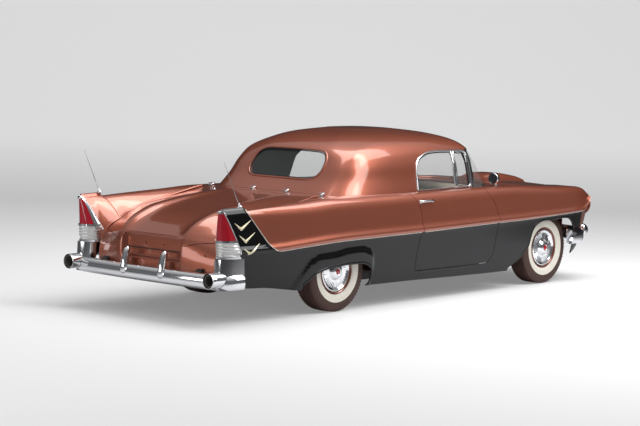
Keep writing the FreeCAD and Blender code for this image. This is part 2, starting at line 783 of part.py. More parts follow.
# Door windows: a bright frame with a vent bar, and the glass
vent_share = 0.556
vent_top_share = 1.365
door_frame_shell = greenhouse_shell(0, size.frame_depth, above(door_top_share) + size.seat_gap)
vent_bar = Part.makeBox(size.half_width, size.window_frame_width * slim_share, above(vent_top_share))
vent_bar.translate(Vector(0, along(vent_share), 0))
frame_hole = window_prism(0).cut(vent_bar)
bright = door_frame_shell.common(window_prism(size.window_frame_width)).cut(frame_hole)
handle_shares = (0.945, 0.325, 0.915)
post_shares = (0.1, 0.8)
post_thickness_share = 0.8
handle_place = Vector(across(handle_shares[0]), along(handle_shares[1]), above(handle_shares[2]))
post_thickness = size.handle_thickness * post_thickness_share
grip = Part.makeBox(size.handle_thickness * slim_share, size.handle_length, size.handle_thickness)
grip.translate(handle_place + Vector(size.handle_rise, 0, 0))
posts = []
for share in post_shares:
    post = Part.makeBox(size.handle_rise + post_thickness, size.handle_thickness, post_thickness)
    post.translate(handle_place + Vector(-size.handle_thickness / 2, share * size.handle_length, 0))
    posts.append(post.cut(door_shape))
keep_pair(formed("DoorBrightwork", Part.makeCompound([bright, grip.fuse(posts)])), "door_brightwork")

pane_hole = window_prism(-size.seat_gap)
bar_room = Part.makeBox(size.half_width, size.window_frame_width * slim_share + 2 * size.seat_gap,
                        above(vent_top_share))
bar_room.translate(Vector(0, along(vent_share) - size.seat_gap, 0))
keep_pair(formed("DoorGlass", glass_shell.common(pane_hole).cut(bar_room)), "door_glass")

# Wheels. A half section goes round the axle, given as distances out and radii.
rear_wheel_x = size.half_width - size.rear_wheel_inset
front_wheel_x = size.half_width - size.front_wheel_inset
REAR_WHEEL = "(half_width - rear_wheel_inset)"
FRONT_WHEEL = "(half_width - front_wheel_inset)"
KINGPIN = "(half_width - kingpin_inset)"


def revolved(section, x, y):
    """Turns a section of (distance out, radius) pairs about a wheel's axle."""
    points = [Vector(x + a, y, size.tyre_radius + b) for a, b in section]
    return Part.Face(polygon(points)).revolve(Vector(x, y, size.tyre_radius), Vector(1, 0, 0), 360)


# A tyre's half section: shares of its half width and of its wall. A wheel's disc lies a share of the
# rim's half width out. The hubcap's profile: shares of the lip, of the rise and of the radius.
tyre_shares = ((0.70, 0), (1.0, 0.42), (0.95, 0.80), (0.74, 1.0))
dish_share = 0.35
hubcap_shares = ((0, 0, 0), (0, 0, 0.96), (0.8, 0, 1.0), (1, 0, 0.94), (0.85, 0, 0.78), (0.7, 0, 0.52),
                 (1, 0.35, 0.36), (1, 0.6, 0.18), (1, 0.66, 0))


def tyre(x, y):
    half = size.tyre_width / 2
    bead = size.rim_radius + size.seat_gap
    wall = size.tyre_radius - bead
    outside = [(half * a, bead + wall * b) for a, b in tyre_shares]
    ring = outside + [(-a, b) for a, b in outside[::-1]]
    return revolved(ring, x, y)


def rim(x, y):
    half = size.rim_width / 2
    edge = size.rim_radius
    low = edge - size.rim_sheet
    disc = size.rim_sheet
    dish = half * dish_share
    section = [(-half, edge), (half, edge), (half, low), (dish + disc, low),
               (dish + disc, size.hub_radius), (dish + disc, 0), (dish, 0), (dish, size.hub_radius),
               (dish - disc, low - disc), (-half, low)]
    return revolved(section, x, y)


def hubcap(x, y):
    start = size.rim_width / 2 * dish_share + size.rim_sheet + size.seat_gap
    edge = size.rim_radius - size.rim_sheet - 2 * size.seat_gap
    outer = min(size.hubcap_radius, edge)
    lip = size.rim_width / 2 - start
    section = [(start + lip * a + size.hubcap_rise * b, outer * c) for a, b, c in hubcap_shares]
    return revolved(section, x, y)


for place, x, y in (("rear", rear_wheel_x, rear_axle), ("front", front_wheel_x, front_axle)):
    keep_pair(formed(f"Tyre_{place}", tyre(x, y)), f"tyre_{place}")
    keep_pair(formed(f"Rim_{place}", rim(x, y)), f"wheel_{place}")
    keep_pair(formed(f"Hubcap_{place}", hubcap(x, y)), f"hubcap_{place}")

# Steering knuckles on upright kingpins
DISC_FACE = f"{FRONT_WHEEL} + 0.175 * rim_width - shaft_gap"
knuckle_pin = cylinder("KnucklePin", "kingpin_radius * 1.6", "kingpin_height", KINGPIN, FRONT_AXLE,
                       "tyre_radius - kingpin_height / 2")
spindle = cylinder("Spindle", "spindle_radius", f"{DISC_FACE} - {KINGPIN}", KINGPIN, FRONT_AXLE,
                   "tyre_radius", (1, 0, 0))
drum = cylinder("DrumBacking", "0.8 * drum_radius", "rim_sheet * 3", f"{KINGPIN} + kingpin_radius * 1.2",
                FRONT_AXLE, "tyre_radius", (1, 0, 0))
arm = box("SteeringArm", "kingpin_radius * 1.5", "arm_width * 2", "arm_thickness",
          f"{KINGPIN} - kingpin_radius * 1.5", f"{FRONT_AXLE} - arm_width * 2", "tyre_radius - arm_width")
keep_pair(fused("KnuckleRight", [knuckle_pin, spindle, drum, arm]), "knuckle")

# Front suspension: a crossmember with upper and lower arms to the kingpins
susp = [box("FrontBeam", "0.86 * half_width", "crossmember_width * 1.6", "rail_height * 0.7",
            "-0.43 * half_width", f"{FRONT_AXLE} - crossmember_width * 0.8",
            "tyre_radius - kingpin_height / 2 - arm_thickness - seat_gap")]
ARM_FOOT = "(0.36 * half_width + rail_width / 2 + seat_gap)"
for side, start in (("Right", ARM_FOOT), ("Left", f"0 - {KINGPIN} - kingpin_radius")):
    susp.append(box(f"LowerArm{side}", f"{KINGPIN} + kingpin_radius - {ARM_FOOT}", "arm_width",
                    "arm_thickness", start, f"{FRONT_AXLE} - arm_width / 2",
                    "tyre_radius - kingpin_height / 2 - arm_thickness - seat_gap"))
    susp.append(box(f"UpperArm{side}", f"{KINGPIN} + kingpin_radius - {ARM_FOOT}", "arm_width",
                    "arm_thickness", start, f"{FRONT_AXLE} - arm_width / 2",
                    "tyre_radius + kingpin_height / 2 + seat_gap"))
for side, x in (("Right", "0.45 * half_width"), ("Left", "-0.45 * half_width")):
    susp.append(cylinder(f"Coil{side}", "arm_width * 0.5",
                         "kingpin_height + 2 * arm_thickness + 2 * seat_gap", x, FRONT_AXLE,
                         "tyre_radius - kingpin_height / 2 - arm_thickness - seat_gap"))
keep(fused("FrontSuspension", susp), "front_suspension")

# Rear axle with its differential, leaf springs and propeller shaft
AXLE_END = f"({REAR_WHEEL} + 0.175 * rim_width - shaft_gap)"
axle = [cylinder("AxleTube", "axle_tube_radius", f"2 * {AXLE_END}", f"0 - {AXLE_END}", REAR_AXLE,
                 "tyre_radius", (1, 0, 0)),
        bound("Part::Sphere", "Differential", {"Radius": "differential_radius"},
              (0, REAR_AXLE, "tyre_radius"))]
for side, x in (("Right", f"{REAR_WHEEL} - 0.3 * rim_width"),
                ("Left", f"0 - {REAR_WHEEL} - 0.08 * rim_width")):
    axle.append(cylinder(f"RearDrum{side}", "drum_radius", "rim_width * 0.38", x, REAR_AXLE,
                         "tyre_radius", (1, 0, 0)))
engine_behind_axle_share = 0.62
gearbox_foot_share = 0.45
gearbox_rear = front_axle - engine_behind_axle_share * size.engine_length - size.gearbox_length
shaft_foot = Vector(0, rear_axle, size.tyre_radius)
shaft_end = Vector(0, gearbox_rear - size.seat_gap,
                   size.rail_bottom + gearbox_foot_share * size.rail_height + size.shaft_radius
                   + size.running_gap)
shaft_way = shaft_end - shaft_foot
axle.append(formed("PropellerShaft", Part.makeCylinder(
    size.shaft_radius, shaft_way.Length - size.running_gap, shaft_foot, shaft_way)))
keep(fused("RearAxle", axle), "rear_axle")
springs = []
SPRING_BOTTOM = "tyre_radius - axle_tube_radius - spring_thickness - seat_gap"
RAIL_FACE = "(0.585 * half_width - rail_width / 2 - seat_gap)"
SPRING_FACE = "(0.53 * half_width - spring_width)"
for side, leaf_x, shackle_x in (("Right", SPRING_FACE, SPRING_FACE),
                                ("Left", "-0.53 * half_width", f"0 - {RAIL_FACE}")):
    springs.append(box(f"Leaf{side}", "spring_width", "0.32 * wheelbase", "spring_thickness", leaf_x,
                       f"{REAR_AXLE} - 0.19 * wheelbase", SPRING_BOTTOM))
    for place, y, rise in (("Front", "0.11", "0.784314"), ("Rear", "-0.185", "1")):
        springs.append(box(f"Shackle{place}{side}", f"{RAIL_FACE} - {SPRING_FACE}", "spring_width * 0.6",
                           f"rail_bottom + {rise} * kick_rise - seat_gap - ({SPRING_BOTTOM})", shackle_x,
                           f"{REAR_AXLE} + {y} * wheelbase", SPRING_BOTTOM))
keep(fused("RearSprings", springs), "rear_springs")

# Exhaust: pipe, silencer, tail pipe over the axle and a tip through each bumper end
# Each row is a share of the half width, a share of the wheelbase and a height.
pipe_shares = (
    (0.33, 0.72, size.pipe_height), (0.33, 0.165, size.pipe_height),
    (0.33, 0.07, size.arched_pipe_height), (0.33, -0.12, size.arched_pipe_height),
    (0.43, -0.25, size.tail_pipe_height), (0.43, -0.31, size.tail_pipe_height),
    (0.80, -0.385, size.tip_height), (0.874, -0.43, size.tip_height))
muffler_share = 0.33
bore_share = 0.8


def tube(points, radius):
    """A round bar through points, with a ball at each bend."""
    pieces = []
    for a, b in zip(points, points[1:]):
        pieces.append(Part.makeCylinder(radius, (b - a).Length, a, b - a))
        pieces.append(Part.makeSphere(radius, b))
    return pieces[0].fuse(pieces[1:])


pipe_points = [Vector(across(a), along(b), height) for a, b, height in pipe_shares]
front_pipe = tube(pipe_points[:2], size.pipe_radius)
pipe_joint = pipe_points[1] + Vector(0, 2 * size.pipe_radius, 0)
tail_pipe = tube([pipe_joint] + pipe_points[1:], size.pipe_radius)
front_room = Part.makeBox(size.half_width, size.wheelbase, size.belt_height)
front_room.translate(Vector(0, pipe_points[1].y + size.pipe_radius, 0))
muffler = Part.makeCylinder(size.muffler_radius, size.muffler_length,
                            Vector(pipe_points[0].x, along(muffler_share), size.muffler_height),
                            Vector(0, 1, 0))
half_length = (size.rear_overhang + size.wheelbase + size.front_overhang) / 2
tip_end = Vector(pipe_points[-1].x, -half_length, size.tip_height)
tip = Part.makeCylinder(size.tip_radius, size.tip_length, tip_end, Vector(0, 1, 0))
bore = Part.makeCylinder(size.tip_radius - size.tip_wall, size.tip_length * bore_share, tip_end,
                         Vector(0, 1, 0))
rear_room = front_room.translated(Vector(0, size.seat_gap - size.wheelbase, 0))
keep(formed("Exhaust", both_sides(front_pipe.fuse(muffler).cut(rear_room))), "exhaust")
keep(formed("TailPipes", both_sides(tail_pipe.fuse(tip).cut([bore, front_room]))), "tail_pipes")

# Chassis frame: two rails kicked up over the rear axle and over the front crossmember. Each row is
# a station, the distance out to the rail's middle, and a share of the kick-up's rise.
rail_shares = ((-0.4655, 0.585, 0.490196), (-0.432, 0.585, 0.686275), (-0.40, 0.585, 1.0),
               (0.08, 0.585, 1.0), (0.17, 0.585, 0.0), (0.24, 0.585, 0.0), (0.78, 0.50, 0.0),
               (0.86, 0.40, 0.117647), (0.93, 0.36, 0.823529), (1.07, 0.36, 0.823529),
               (1.16, 0.46, 0.725490), (1.2125, 0.50, 0.705882))
member_shares = ((-0.38, 1.0), (-0.20, 1.0), (0.11, 0.784314), (0.30, 0.0), (0.52, 0.0), (0.78, 0.0),
                 (1.14, 0.745098))
member_width_share = 0.7
member_height_share = 0.45
front_joint_share = 0.81


def rail_section(share, out, rise):
    """A rail's rectangular section at one station."""
    x = across(out) - size.rail_width / 2
    z = size.rail_bottom + rise * size.kick_rise
    return polygon([Vector(x + a * size.rail_width, along(share), z + b * size.rail_height)
                    for a, b in ((0, 0), (1, 0), (1, 1), (0, 1))])


rail_right = Part.makeLoft([rail_section(*row) for row in rail_shares], True, True)
rail_left = flipped(rail_right)
members = []
for share, rise in member_shares:
    out = smooth_between(rail_shares, share)[0]
    beam = Part.makeBox(2 * across(out), size.crossmember_width * member_width_share,
                        size.rail_height * member_height_share)
    beam.translate(Vector(-across(out), along(share), size.rail_bottom + rise * size.kick_rise))
    members.append(beam)
front_beam = members.pop()
frame_shape = rail_right.fuse([rail_left] + members)
pipe_room = tube(pipe_points, size.pipe_radius + size.running_gap)
frame_shape = frame_shape.cut([pipe_room, flipped(pipe_room)])
# The front rails and the front crossmember are sections of their own, welded on in the real frame
front_section = Part.makeBox(2 * size.half_width, size.wheelbase, size.belt_height)
front_section.translate(Vector(-size.half_width, along(front_joint_share), 0))
keep(formed("Frame", frame_shape.cut(front_section)), "frame")
front_section.translate(Vector(0, size.seat_gap, 0))
keep(formed("FrontFrame", frame_shape.common(front_section)), "front_frame")
rails_apart = [rail_right.translated(Vector(-size.seat_gap, 0, 0)),
               rail_left.translated(Vector(size.seat_gap, 0, 0))]
keep(formed("FrontCrossmember", front_beam.cut(rails_apart)), "front_crossmember")

# Floor: firewall, toe board, floor, rear riser and luggage floor as one folded sheet. Heights are
# shares of the way from the floor up to the belt in front, and up to the luggage floor behind.
floor_shares = (("front", 0.835, 0.975), ("front", 0.835, 0.55), ("front", 0.775, 0.0),
                ("rear", 0.190, 0.0), ("rear", 0.180, 1.0), ("rear", -0.4385, 1.0))
firewall_top_share = 0.97
floor_width_share = 0.625
wing_shares = (0.195, 0.775)
flange_shares = (0.35, 0.64)
flange_foot_share = 0.205
housing_shares = (-0.14, 0.178)
housing_top_share = 0.86
apron_shares = (0.834, 1.15)
apron_foot_share = 0.53
apron_out_share = 0.44
fold = []
for kind, share, height in floor_shares:
    if kind == "rear":
        z = size.floor_height + height * (size.rear_floor_height - size.floor_height)
    else:
        z = size.floor_height + height * (size.belt_height - size.floor_height)
    fold.append(Vector(0, along(share), z))
fold[0].z = above(firewall_top_share)


def folded_sheet(line, left, right):
    """A sheet whose upper side follows a line seen from the side."""
    lower = []
    for k, p in enumerate(line):
        a = line[max(k - 1, 0)]
        b = line[min(k + 1, len(line) - 1)]
        run = math.hypot(b.y - a.y, b.z - a.z)
        lower.append(Vector(0, p.y + size.floor_sheet * (b.z - a.z) / run,
                            p.z - size.floor_sheet * (b.y - a.y) / run))
    ring = [Vector(left, p.y, p.z) for p in line + lower[::-1]]
    return prism(ring, Vector(right - left, 0, 0))


def plate(low_share, high_share, x, width, z, height):
    """An upright or level plate between two stations."""
    piece = Part.makeBox(width, along(high_share) - along(low_share), height)
    piece.translate(Vector(x, along(low_share), z))
    return piece


floor_half = across(floor_width_share)
floor_shape = folded_sheet(fold, -floor_half, floor_half)
for side in (-1, 1):
    wing = plate(*wing_shares, floor_half, sill_inner_x - size.seat_gap - floor_half,
                 size.floor_height, size.floor_sheet)
    flange = plate(*flange_shares, sill_inner_x - size.seat_gap - size.floor_sheet, size.floor_sheet,
                   above(flange_foot_share),
                   size.floor_height + size.floor_sheet - above(flange_foot_share))
    housing = plate(*housing_shares, floor_half - size.floor_sheet, size.floor_sheet,
                    size.rear_floor_height, above(housing_top_share) - size.rear_floor_height)
    apron = plate(*apron_shares, across(apron_out_share) - size.floor_sheet / 2, size.floor_sheet,
                  above(apron_foot_share), above(housing_top_share - apron_foot_share))
    for sheet_piece in (wing, flange, housing, apron):
        floor_shape = floor_shape.fuse(sheet_piece if side > 0 else flipped(sheet_piece))
# Tunnels over the propeller shaft and the gearbox: the room under each, and the sheet over it
gearbox_bottom = size.rail_bottom + gearbox_foot_share * size.rail_height + size.seat_gap
shaft_tunnel_shares = (0.179, 0.62)
gearbox_tunnel_shares = (0.61, 0.85)
for (low, high), half_room, top in (
        (shaft_tunnel_shares, size.shaft_radius + 3 * size.running_gap,
         size.tyre_radius + size.shaft_radius),
        (gearbox_tunnel_shares, size.gearbox_width / 2 + 2 * size.running_gap,
         gearbox_bottom + size.gearbox_height + 2 * size.running_gap)):
    room = plate(low, high, -half_room, 2 * half_room, 0, top)
    cover = plate(low, min(high, apron_shares[0]), -half_room - size.floor_sheet,
                  2 * (half_room + size.floor_sheet), size.floor_height,
                  top + size.floor_sheet - size.floor_height)
    floor_shape = floor_shape.fuse(cover).cut(room)
keep(formed("FloorPan", floor_shape), "floor_pan")

# Engine with its gearbox
block = box("EngineBlock", "engine_width", "engine_length", "engine_height", "-engine_width / 2",
            f"{FRONT_AXLE} - engine_length * {engine_behind_axle_share}",
            "tyre_radius - kingpin_height / 2 - arm_thickness + rail_height * 0.7")
gearbox = box("Gearbox", "gearbox_width", "gearbox_length", "gearbox_height", "-gearbox_width / 2",
              f"{FRONT_AXLE} - engine_length * {engine_behind_axle_share} - gearbox_length",
              f"rail_bottom + {gearbox_foot_share} * rail_height + seat_gap")
keep(fused("Engine", [block, gearbox]), "engine")

# Fuel tank
keep(box("FuelTank", "tank_width", "tank_length", "tank_height", "-tank_width / 2",
         f"{REAR_AXLE} - 0.215 * wheelbase - tank_length",
         "rear_floor_height - seat_gap - tank_height"), "fuel_tank")


# Bumpers follow the body's ends in plan
def bumper_band(outline, bottom, height, wall):
    """A bar that follows a plan outline, from the centre to one end, and its mirror image."""
    half = [Vector(across(a), along(b), bottom) for a, b in outline]
    line = [Vector(-p.x, p.y, p.z) for p in half[:0:-1]] + half
    inner = []
    for k, p in enumerate(line):
        a = line[max(k - 1, 0)]
        b = line[min(k + 1, len(line) - 1)]
        run = math.hypot(b.x - a.x, b.y - a.y)
        inner.append(Vector(p.x - wall * (b.y - a.y) / run, p.y + wall * (b.x - a.x) / run, p.z))
    return prism(line + inner[::-1], Vector(0, 0, height))


# A corner piece has the lamp's plan, a U that opens forward
corner_shares = ((0.765, -0.4150), (0.770, -0.4450), (0.790, -0.4600), (0.825, -0.4680), (0.863, -0.4700),
                 (0.900, -0.4680), (0.932, -0.4560), (0.945, -0.4370), (0.952, -0.4030))
corner_middle_share = 0.86
corner_top_share = 0.535
corner_drop_share = 0.2
corner_wall_share = 0.4
guard_shares = (0.2335, -0.4845)
guard_foot_share = 0.44


def corner_band(outline, bottom, height, wall):
    """A wall of even thickness inside an outline that opens forward."""
    line = [Vector(across(a), along(b), bottom) for a, b in outline]
    middle = Vector(across(corner_middle_share), line[0].y, bottom)
    inner = []
    for p in line:
        way = middle - p
        inner.append(p + Vector(wall if way.x > 0 else -wall, 0, 0) if abs(way.y) < wall
                     else p + way * (wall / way.Length))
    return prism(line + inner[::-1], Vector(0, 0, height))


rear_bumper_shares = ((0, -0.4845), (0.40, -0.482), (0.70, -0.474), (0.90, -0.463), (0.965, -0.447),
                      (0.985, -0.41))
front_bumper_shares = ((0, 1.232), (0.40, 1.228), (0.70, 1.215), (0.90, 1.190), (0.97, 1.165),
                       (0.99, 1.14))
rear_bar = bumper_band(rear_bumper_shares, size.rear_bumper_bottom, size.bumper_height,
                       size.bumper_wall)
tip_hole = Part.makeCylinder(size.tip_radius + size.seat_gap, size.tip_length * 2, tip_end,
                             Vector(0, 1, 0))
corner_bottom = size.rear_bumper_bottom - corner_drop_share * size.bumper_height
corner = corner_band(corner_shares, corner_bottom,
                     above(corner_top_share) - size.seat_gap - corner_bottom,
                     size.bumper_wall * corner_wall_share)
rear_bar = rear_bar.fuse([corner, flipped(corner)]).cut([tip_hole, flipped(tip_hole)])
guards = []
for side in (-1, 1):
    guard = Part.makeBox(size.guard_width, size.guard_depth, size.guard_height)
    guard.translate(Vector(side * across(guard_shares[0]) - size.guard_width / 2,
                           along(guard_shares[1]) - size.guard_depth / 2,
                           size.rear_bumper_bottom + guard_foot_share * size.bumper_height))
    guards.append(guard)
keep(formed("RearBumper", rear_bar.fuse(guards)), "rear_bumper")
front_height_share = 1.1
front_bar = bumper_band(front_bumper_shares, size.front_bumper_bottom,
                        size.bumper_height * front_height_share, -size.bumper_wall)
bullet_share = 0.812
bullet_tip_share = 0.25
bullets = []
for side in (-1, 1):
    bullet_foot = Vector(side * across(bullet_share), half_length - size.bullet_length,
                         size.front_bumper_bottom + size.bumper_height)
    bullets.append(Part.makeCone(size.bullet_radius, size.bullet_radius * bullet_tip_share,
                                 size.bullet_length, bullet_foot, Vector(0, 1, 0)))
keep(formed("FrontBumper", front_bar.fuse(bullets)), "front_bumper")

# Tail lamps: a bright frame, a red lens above and a clear lens below. The frame's outline seen from
# behind is widened a little, to stand clear of the fin's skin.
lamp_width_share = 1.015
lamp_divide_share = 0.703
lamp_shares = ((0.735, 0.560), (0.72, 0.70), (0.725, 0.88), (0.76, 0.955), (0.80, 0.965), (0.86, 0.962),
               (0.925, 0.93), (0.93, 0.80), (0.935, 0.62), (0.90, 0.545), (0.80, 0.535))


def lamp_prism(points, offset, depth):
    """A block behind the slanting plane, from an outline of (across, up) points."""
    return prism([Vector(x, lamp_plane(z / size.belt_height) + offset, z) for x, z in points],
                 Vector(0, depth, 0))


lamp_points = [(across(a * lamp_width_share), above(b)) for a, b in lamp_shares]
lamp_middle = (sum(a for a, b in lamp_points) / len(lamp_points),
               sum(b for a, b in lamp_points) / len(lamp_points))


def shrunk(points, margin):
    """An outline moved inward, square to itself, by a margin."""
    result = []
    for k, (a, b) in enumerate(points):
        pa, pb = points[k - 1], points[(k + 1) % len(points)]
        run = math.hypot(pb[0] - pa[0], pb[1] - pa[1])
        normal = (-(pb[1] - pa[1]) / run, (pb[0] - pa[0]) / run)
        if normal[0] * (lamp_middle[0] - a) + normal[1] * (lamp_middle[1] - b) < 0:
            normal = (-normal[0], -normal[1])
        result.append((a + margin * normal[0], b + margin * normal[1]))
    return result


frame_offset = -size.seat_gap - size.lamp_frame_depth
lamp_frame = lamp_prism(lamp_points, frame_offset, size.lamp_frame_depth)
inside_points = shrunk(lamp_points, size.lamp_frame_width)
lamp_frame = lamp_frame.cut(lamp_prism(inside_points, frame_offset - size.cut_overrun,
                                       size.lamp_frame_depth + 2 * size.cut_overrun))
divide = Part.makeBox(size.half_width, size.wheelbase, size.lamp_frame_width)
divide.translate(Vector(0, -size.wheelbase, above(lamp_divide_share)))
divider = divide.common(lamp_prism(lamp_points, frame_offset, size.lamp_frame_depth))
keep(formed("LampFrames", both_sides(lamp_frame.fuse(divider))), "tail_lamp_frames")
# Each lens is a cone with a level U for its section, from the plane back to a steep edge line:
# height, inner and outer side, and the edge line's place
lens_shares = ((0.545, 0.757, 0.902, -0.4635), (0.620, 0.752, 0.937, -0.4650),
               (0.703, 0.743, 0.934, -0.4664), (0.800, 0.745, 0.932, -0.4680),
               (0.880, 0.748, 0.927, -0.4692), (0.930, 0.772, 0.906, -0.4699),
               (0.946, 0.800, 0.880, -0.4701))
lens_round_shares = ((0.0, 0.0), (0.04, 0.55), (0.16, 0.85), (0.34, 0.975), (0.5, 1.0), (0.66, 0.975),
                     (0.84, 0.85), (0.96, 0.55), (1.0, 0.0))


def lens_section(height, inner, outer, edge):
    start = lamp_plane(height) - size.seat_gap
    reach = along(edge) - start
    low, high = across(inner), across(outer)
    return polygon([Vector(low + (high - low) * a, start + reach * b, above(height))
                    for a, b in lens_round_shares])


lens_points = shrunk(lamp_points, size.lamp_frame_width + size.seat_gap)
lens = Part.makeLoft([lens_section(*row) for row in lens_shares], True, True)
lens = lens.common(lamp_prism(lens_points, -size.wheelbase, 2 * size.wheelbase))
upper = Part.makeBox(size.half_width, 2 * size.wheelbase, size.belt_height)
upper.translate(Vector(0, -2 * size.wheelbase,
                       above(lamp_divide_share) + size.lamp_frame_width + size.seat_gap))
lower = Part.makeBox(size.half_width, 2 * size.wheelbase, above(lamp_divide_share) - size.seat_gap)
lower.translate(Vector(0, -2 * size.wheelbase, 0))
keep(formed("TailLamps", both_sides(lens.common(upper))), "tail_lamps")
keep(formed("ClearLamps", both_sides(lens.common(lower))), "reversing_lamps")

# Headlamps at the noses of the fenders
headlamp_shares = (0.81, 0.795)
headlamp_glass_share = 0.7
head_y = along(side_shares[-1][0]) + size.seat_gap
rims, glasses = [], []
for side in (-1, 1):
    centre = Vector(side * across(headlamp_shares[0]), head_y, above(headlamp_shares[1]))
    rim_ring = Part.makeCylinder(size.headlamp_radius, size.headlamp_depth, centre, Vector(0, 1, 0))
    hole = Part.makeCylinder(size.headlamp_radius - size.headlamp_rim, size.headlamp_depth,
                             centre, Vector(0, 1, 0))
    rims.append(rim_ring.cut(hole))
    glasses.append(Part.makeCylinder(size.headlamp_radius - size.headlamp_rim - size.seat_gap,
                                     size.headlamp_depth * headlamp_glass_share, centre, Vector(0, 1, 0)))
keep(formed("HeadlampRims", Part.makeCompound(rims)), "headlamp_rims")
keep(formed("Headlamps", Part.makeCompound(glasses)), "headlamps")

# Seats, dashboard and steering wheel
SEAT_HALF = "(half_width - door_depth - seat_side_gap)"
REAR_SEAT_HALF = f"({floor_width_share} * half_width - floor_sheet - rear_seat_gap)"
front_cushion = box("FrontCushion", f"2 * {SEAT_HALF}", "cushion_length", "cushion_height",
                    f"0 - {SEAT_HALF}", f"{REAR_AXLE} + 0.36 * wheelbase",
                    "floor_height + floor_sheet + seat_gap")
front_back = box("FrontBack", f"2 * {SEAT_HALF}", "backrest_thickness", "0.66 * belt_height",
                 f"0 - {SEAT_HALF}", f"{REAR_AXLE} + 0.36 * wheelbase - backrest_thickness",
                 "floor_height + floor_sheet + seat_gap")
seat_room = box("SeatTunnelRoom", "2 * (shaft_radius + 3 * running_gap + floor_sheet + seat_gap)",
                "wheelbase", "tyre_radius + shaft_radius + floor_sheet + seat_gap",
                "0 - shaft_radius - 3 * running_gap - floor_sheet - seat_gap", REAR_AXLE, 0)
keep(cut("FrontSeat", fused("FrontSeatBlock", [front_cushion, front_back]), seat_room), "front_seat")
rear_cushion = box("RearCushion", f"2 * {REAR_SEAT_HALF}", "0.14 * wheelbase", "0.9 * cushion_height",
                   f"0 - {REAR_SEAT_HALF}", f"{REAR_AXLE} + 0.02 * wheelbase",
                   "rear_floor_height + floor_sheet + seat_gap")
rear_back = box("RearBack", f"2 * {REAR_SEAT_HALF}", "backrest_thickness", "0.41 * belt_height",
                f"0 - {REAR_SEAT_HALF}", f"{REAR_AXLE} + 0.02 * wheelbase - backrest_thickness",
                "rear_floor_height + floor_sheet + seat_gap")
keep(fused("RearSeat", [rear_cushion, rear_back]), "rear_seat")
keep(box("Dashboard", "1.50 * half_width", "dash_depth", "dash_height", "-0.75 * half_width",
         f"{REAR_AXLE} + 0.690 * wheelbase - seat_gap - dash_depth",
         "0.9995 * belt_height - skin - seat_gap - dash_height"),
     "dashboard")
wheel_shares = (-0.38, 0.585, 0.88)
column_slope = math.radians(25)
rim_sides = 8
dash_share = 0.690
spoke_share = 1.4
wheel_centre = Vector(across(wheel_shares[0]), along(wheel_shares[1]), above(wheel_shares[2]))
column_way = Vector(0, math.cos(column_slope), -math.sin(column_slope))
rim_section = []
for k in range(rim_sides):
    turn = 2 * math.pi * (k + 0.5) / rim_sides
    out = size.steering_wheel_radius + size.steering_rim_radius * math.cos(turn)
    rim_section.append(wheel_centre + Vector(out, 0, 0)
                       + column_way * (size.steering_rim_radius * math.sin(turn)))
steering = Part.Face(polygon(rim_section)).revolve(wheel_centre, column_way, 360)
dash_rear = along(dash_share) - size.dash_depth - 2 * size.seat_gap
column_length = (dash_rear + size.seat_gap - wheel_centre.y) / column_way.y
column = Part.makeCylinder(size.column_radius, column_length, wheel_centre, column_way)
spoke_thickness = size.steering_rim_radius * spoke_share
spoke = Part.makeBox(2 * size.steering_wheel_radius, spoke_thickness, spoke_thickness)
spoke.translate(Vector(-size.steering_wheel_radius, 0, 0) + wheel_centre)
dash_front = Part.makeBox(2 * size.half_width, size.wheelbase, size.belt_height)
dash_front.translate(Vector(-size.half_width, dash_rear, 0))
keep(formed("SteeringWheel", steering.fuse([column, spoke]).cut(dash_front)), "steering_wheel")

# Spotlights beside the windshield and antennas on the rear quarters
spot_shares = (0.80, 0.755, 0.985)
spot_rise_share = 1.15
spot_lift_share = 0.015
stem_share = 0.6
mast_shares = (0.845, -0.395, 0.950)
mast_foot_shares = (5, 2, 8)
spot_foot = Vector(across(spot_shares[0]), along(spot_shares[1]), above(spot_shares[2]))
spot_head = spot_foot + Vector(0, 0, size.spotlight_radius * spot_rise_share + above(spot_lift_share))
stem = Part.makeCylinder(size.spotlight_stem, size.spotlight_radius * stem_share, spot_foot,
                         Vector(0, 0, 1))
bowl = Part.makeCylinder(size.spotlight_radius, size.spotlight_depth,
                         spot_head - Vector(0, size.spotlight_depth / 2, 0), Vector(0, 1, 0))
keep(formed("Spotlights", both_sides(stem.fuse(bowl).cut(fender_shape))), "spotlights")
lean = math.radians(size.antenna_lean)
mast_foot = Vector(across(mast_shares[0]), along(mast_shares[1]), above(mast_shares[2]))
mast_base = Part.makeCone(*(size.antenna_radius * factor for factor in mast_foot_shares), mast_foot,
                          Vector(0, 0, 1))
rod = Part.makeCylinder(size.antenna_radius, size.antenna_length, mast_foot,
                        Vector(0, -math.sin(lean), math.cos(lean)))
keep(formed("Antennas", both_sides(mast_base.fuse(rod).cut(quarter_shape))), "antennas")

doc.recompute()
problems = [item.Name for item in doc.Objects if {"Invalid", "Error"} & set(item.State)]
problems += [item.Label for item in sub_parts if item.Shape.isNull() or not item.Shape.isValid()]
if problems:
    raise RuntimeError(f"These did not build: {problems}")

os.makedirs("parts", exist_ok=True)
for item in sub_parts:
    item.Shape.exportStep(f"parts/{item.Label}.step")
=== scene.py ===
import math

import bmesh
import bpy
import numpy as np
from mathutils import Matrix, Vector
from mathutils.bvhtree import BVHTree


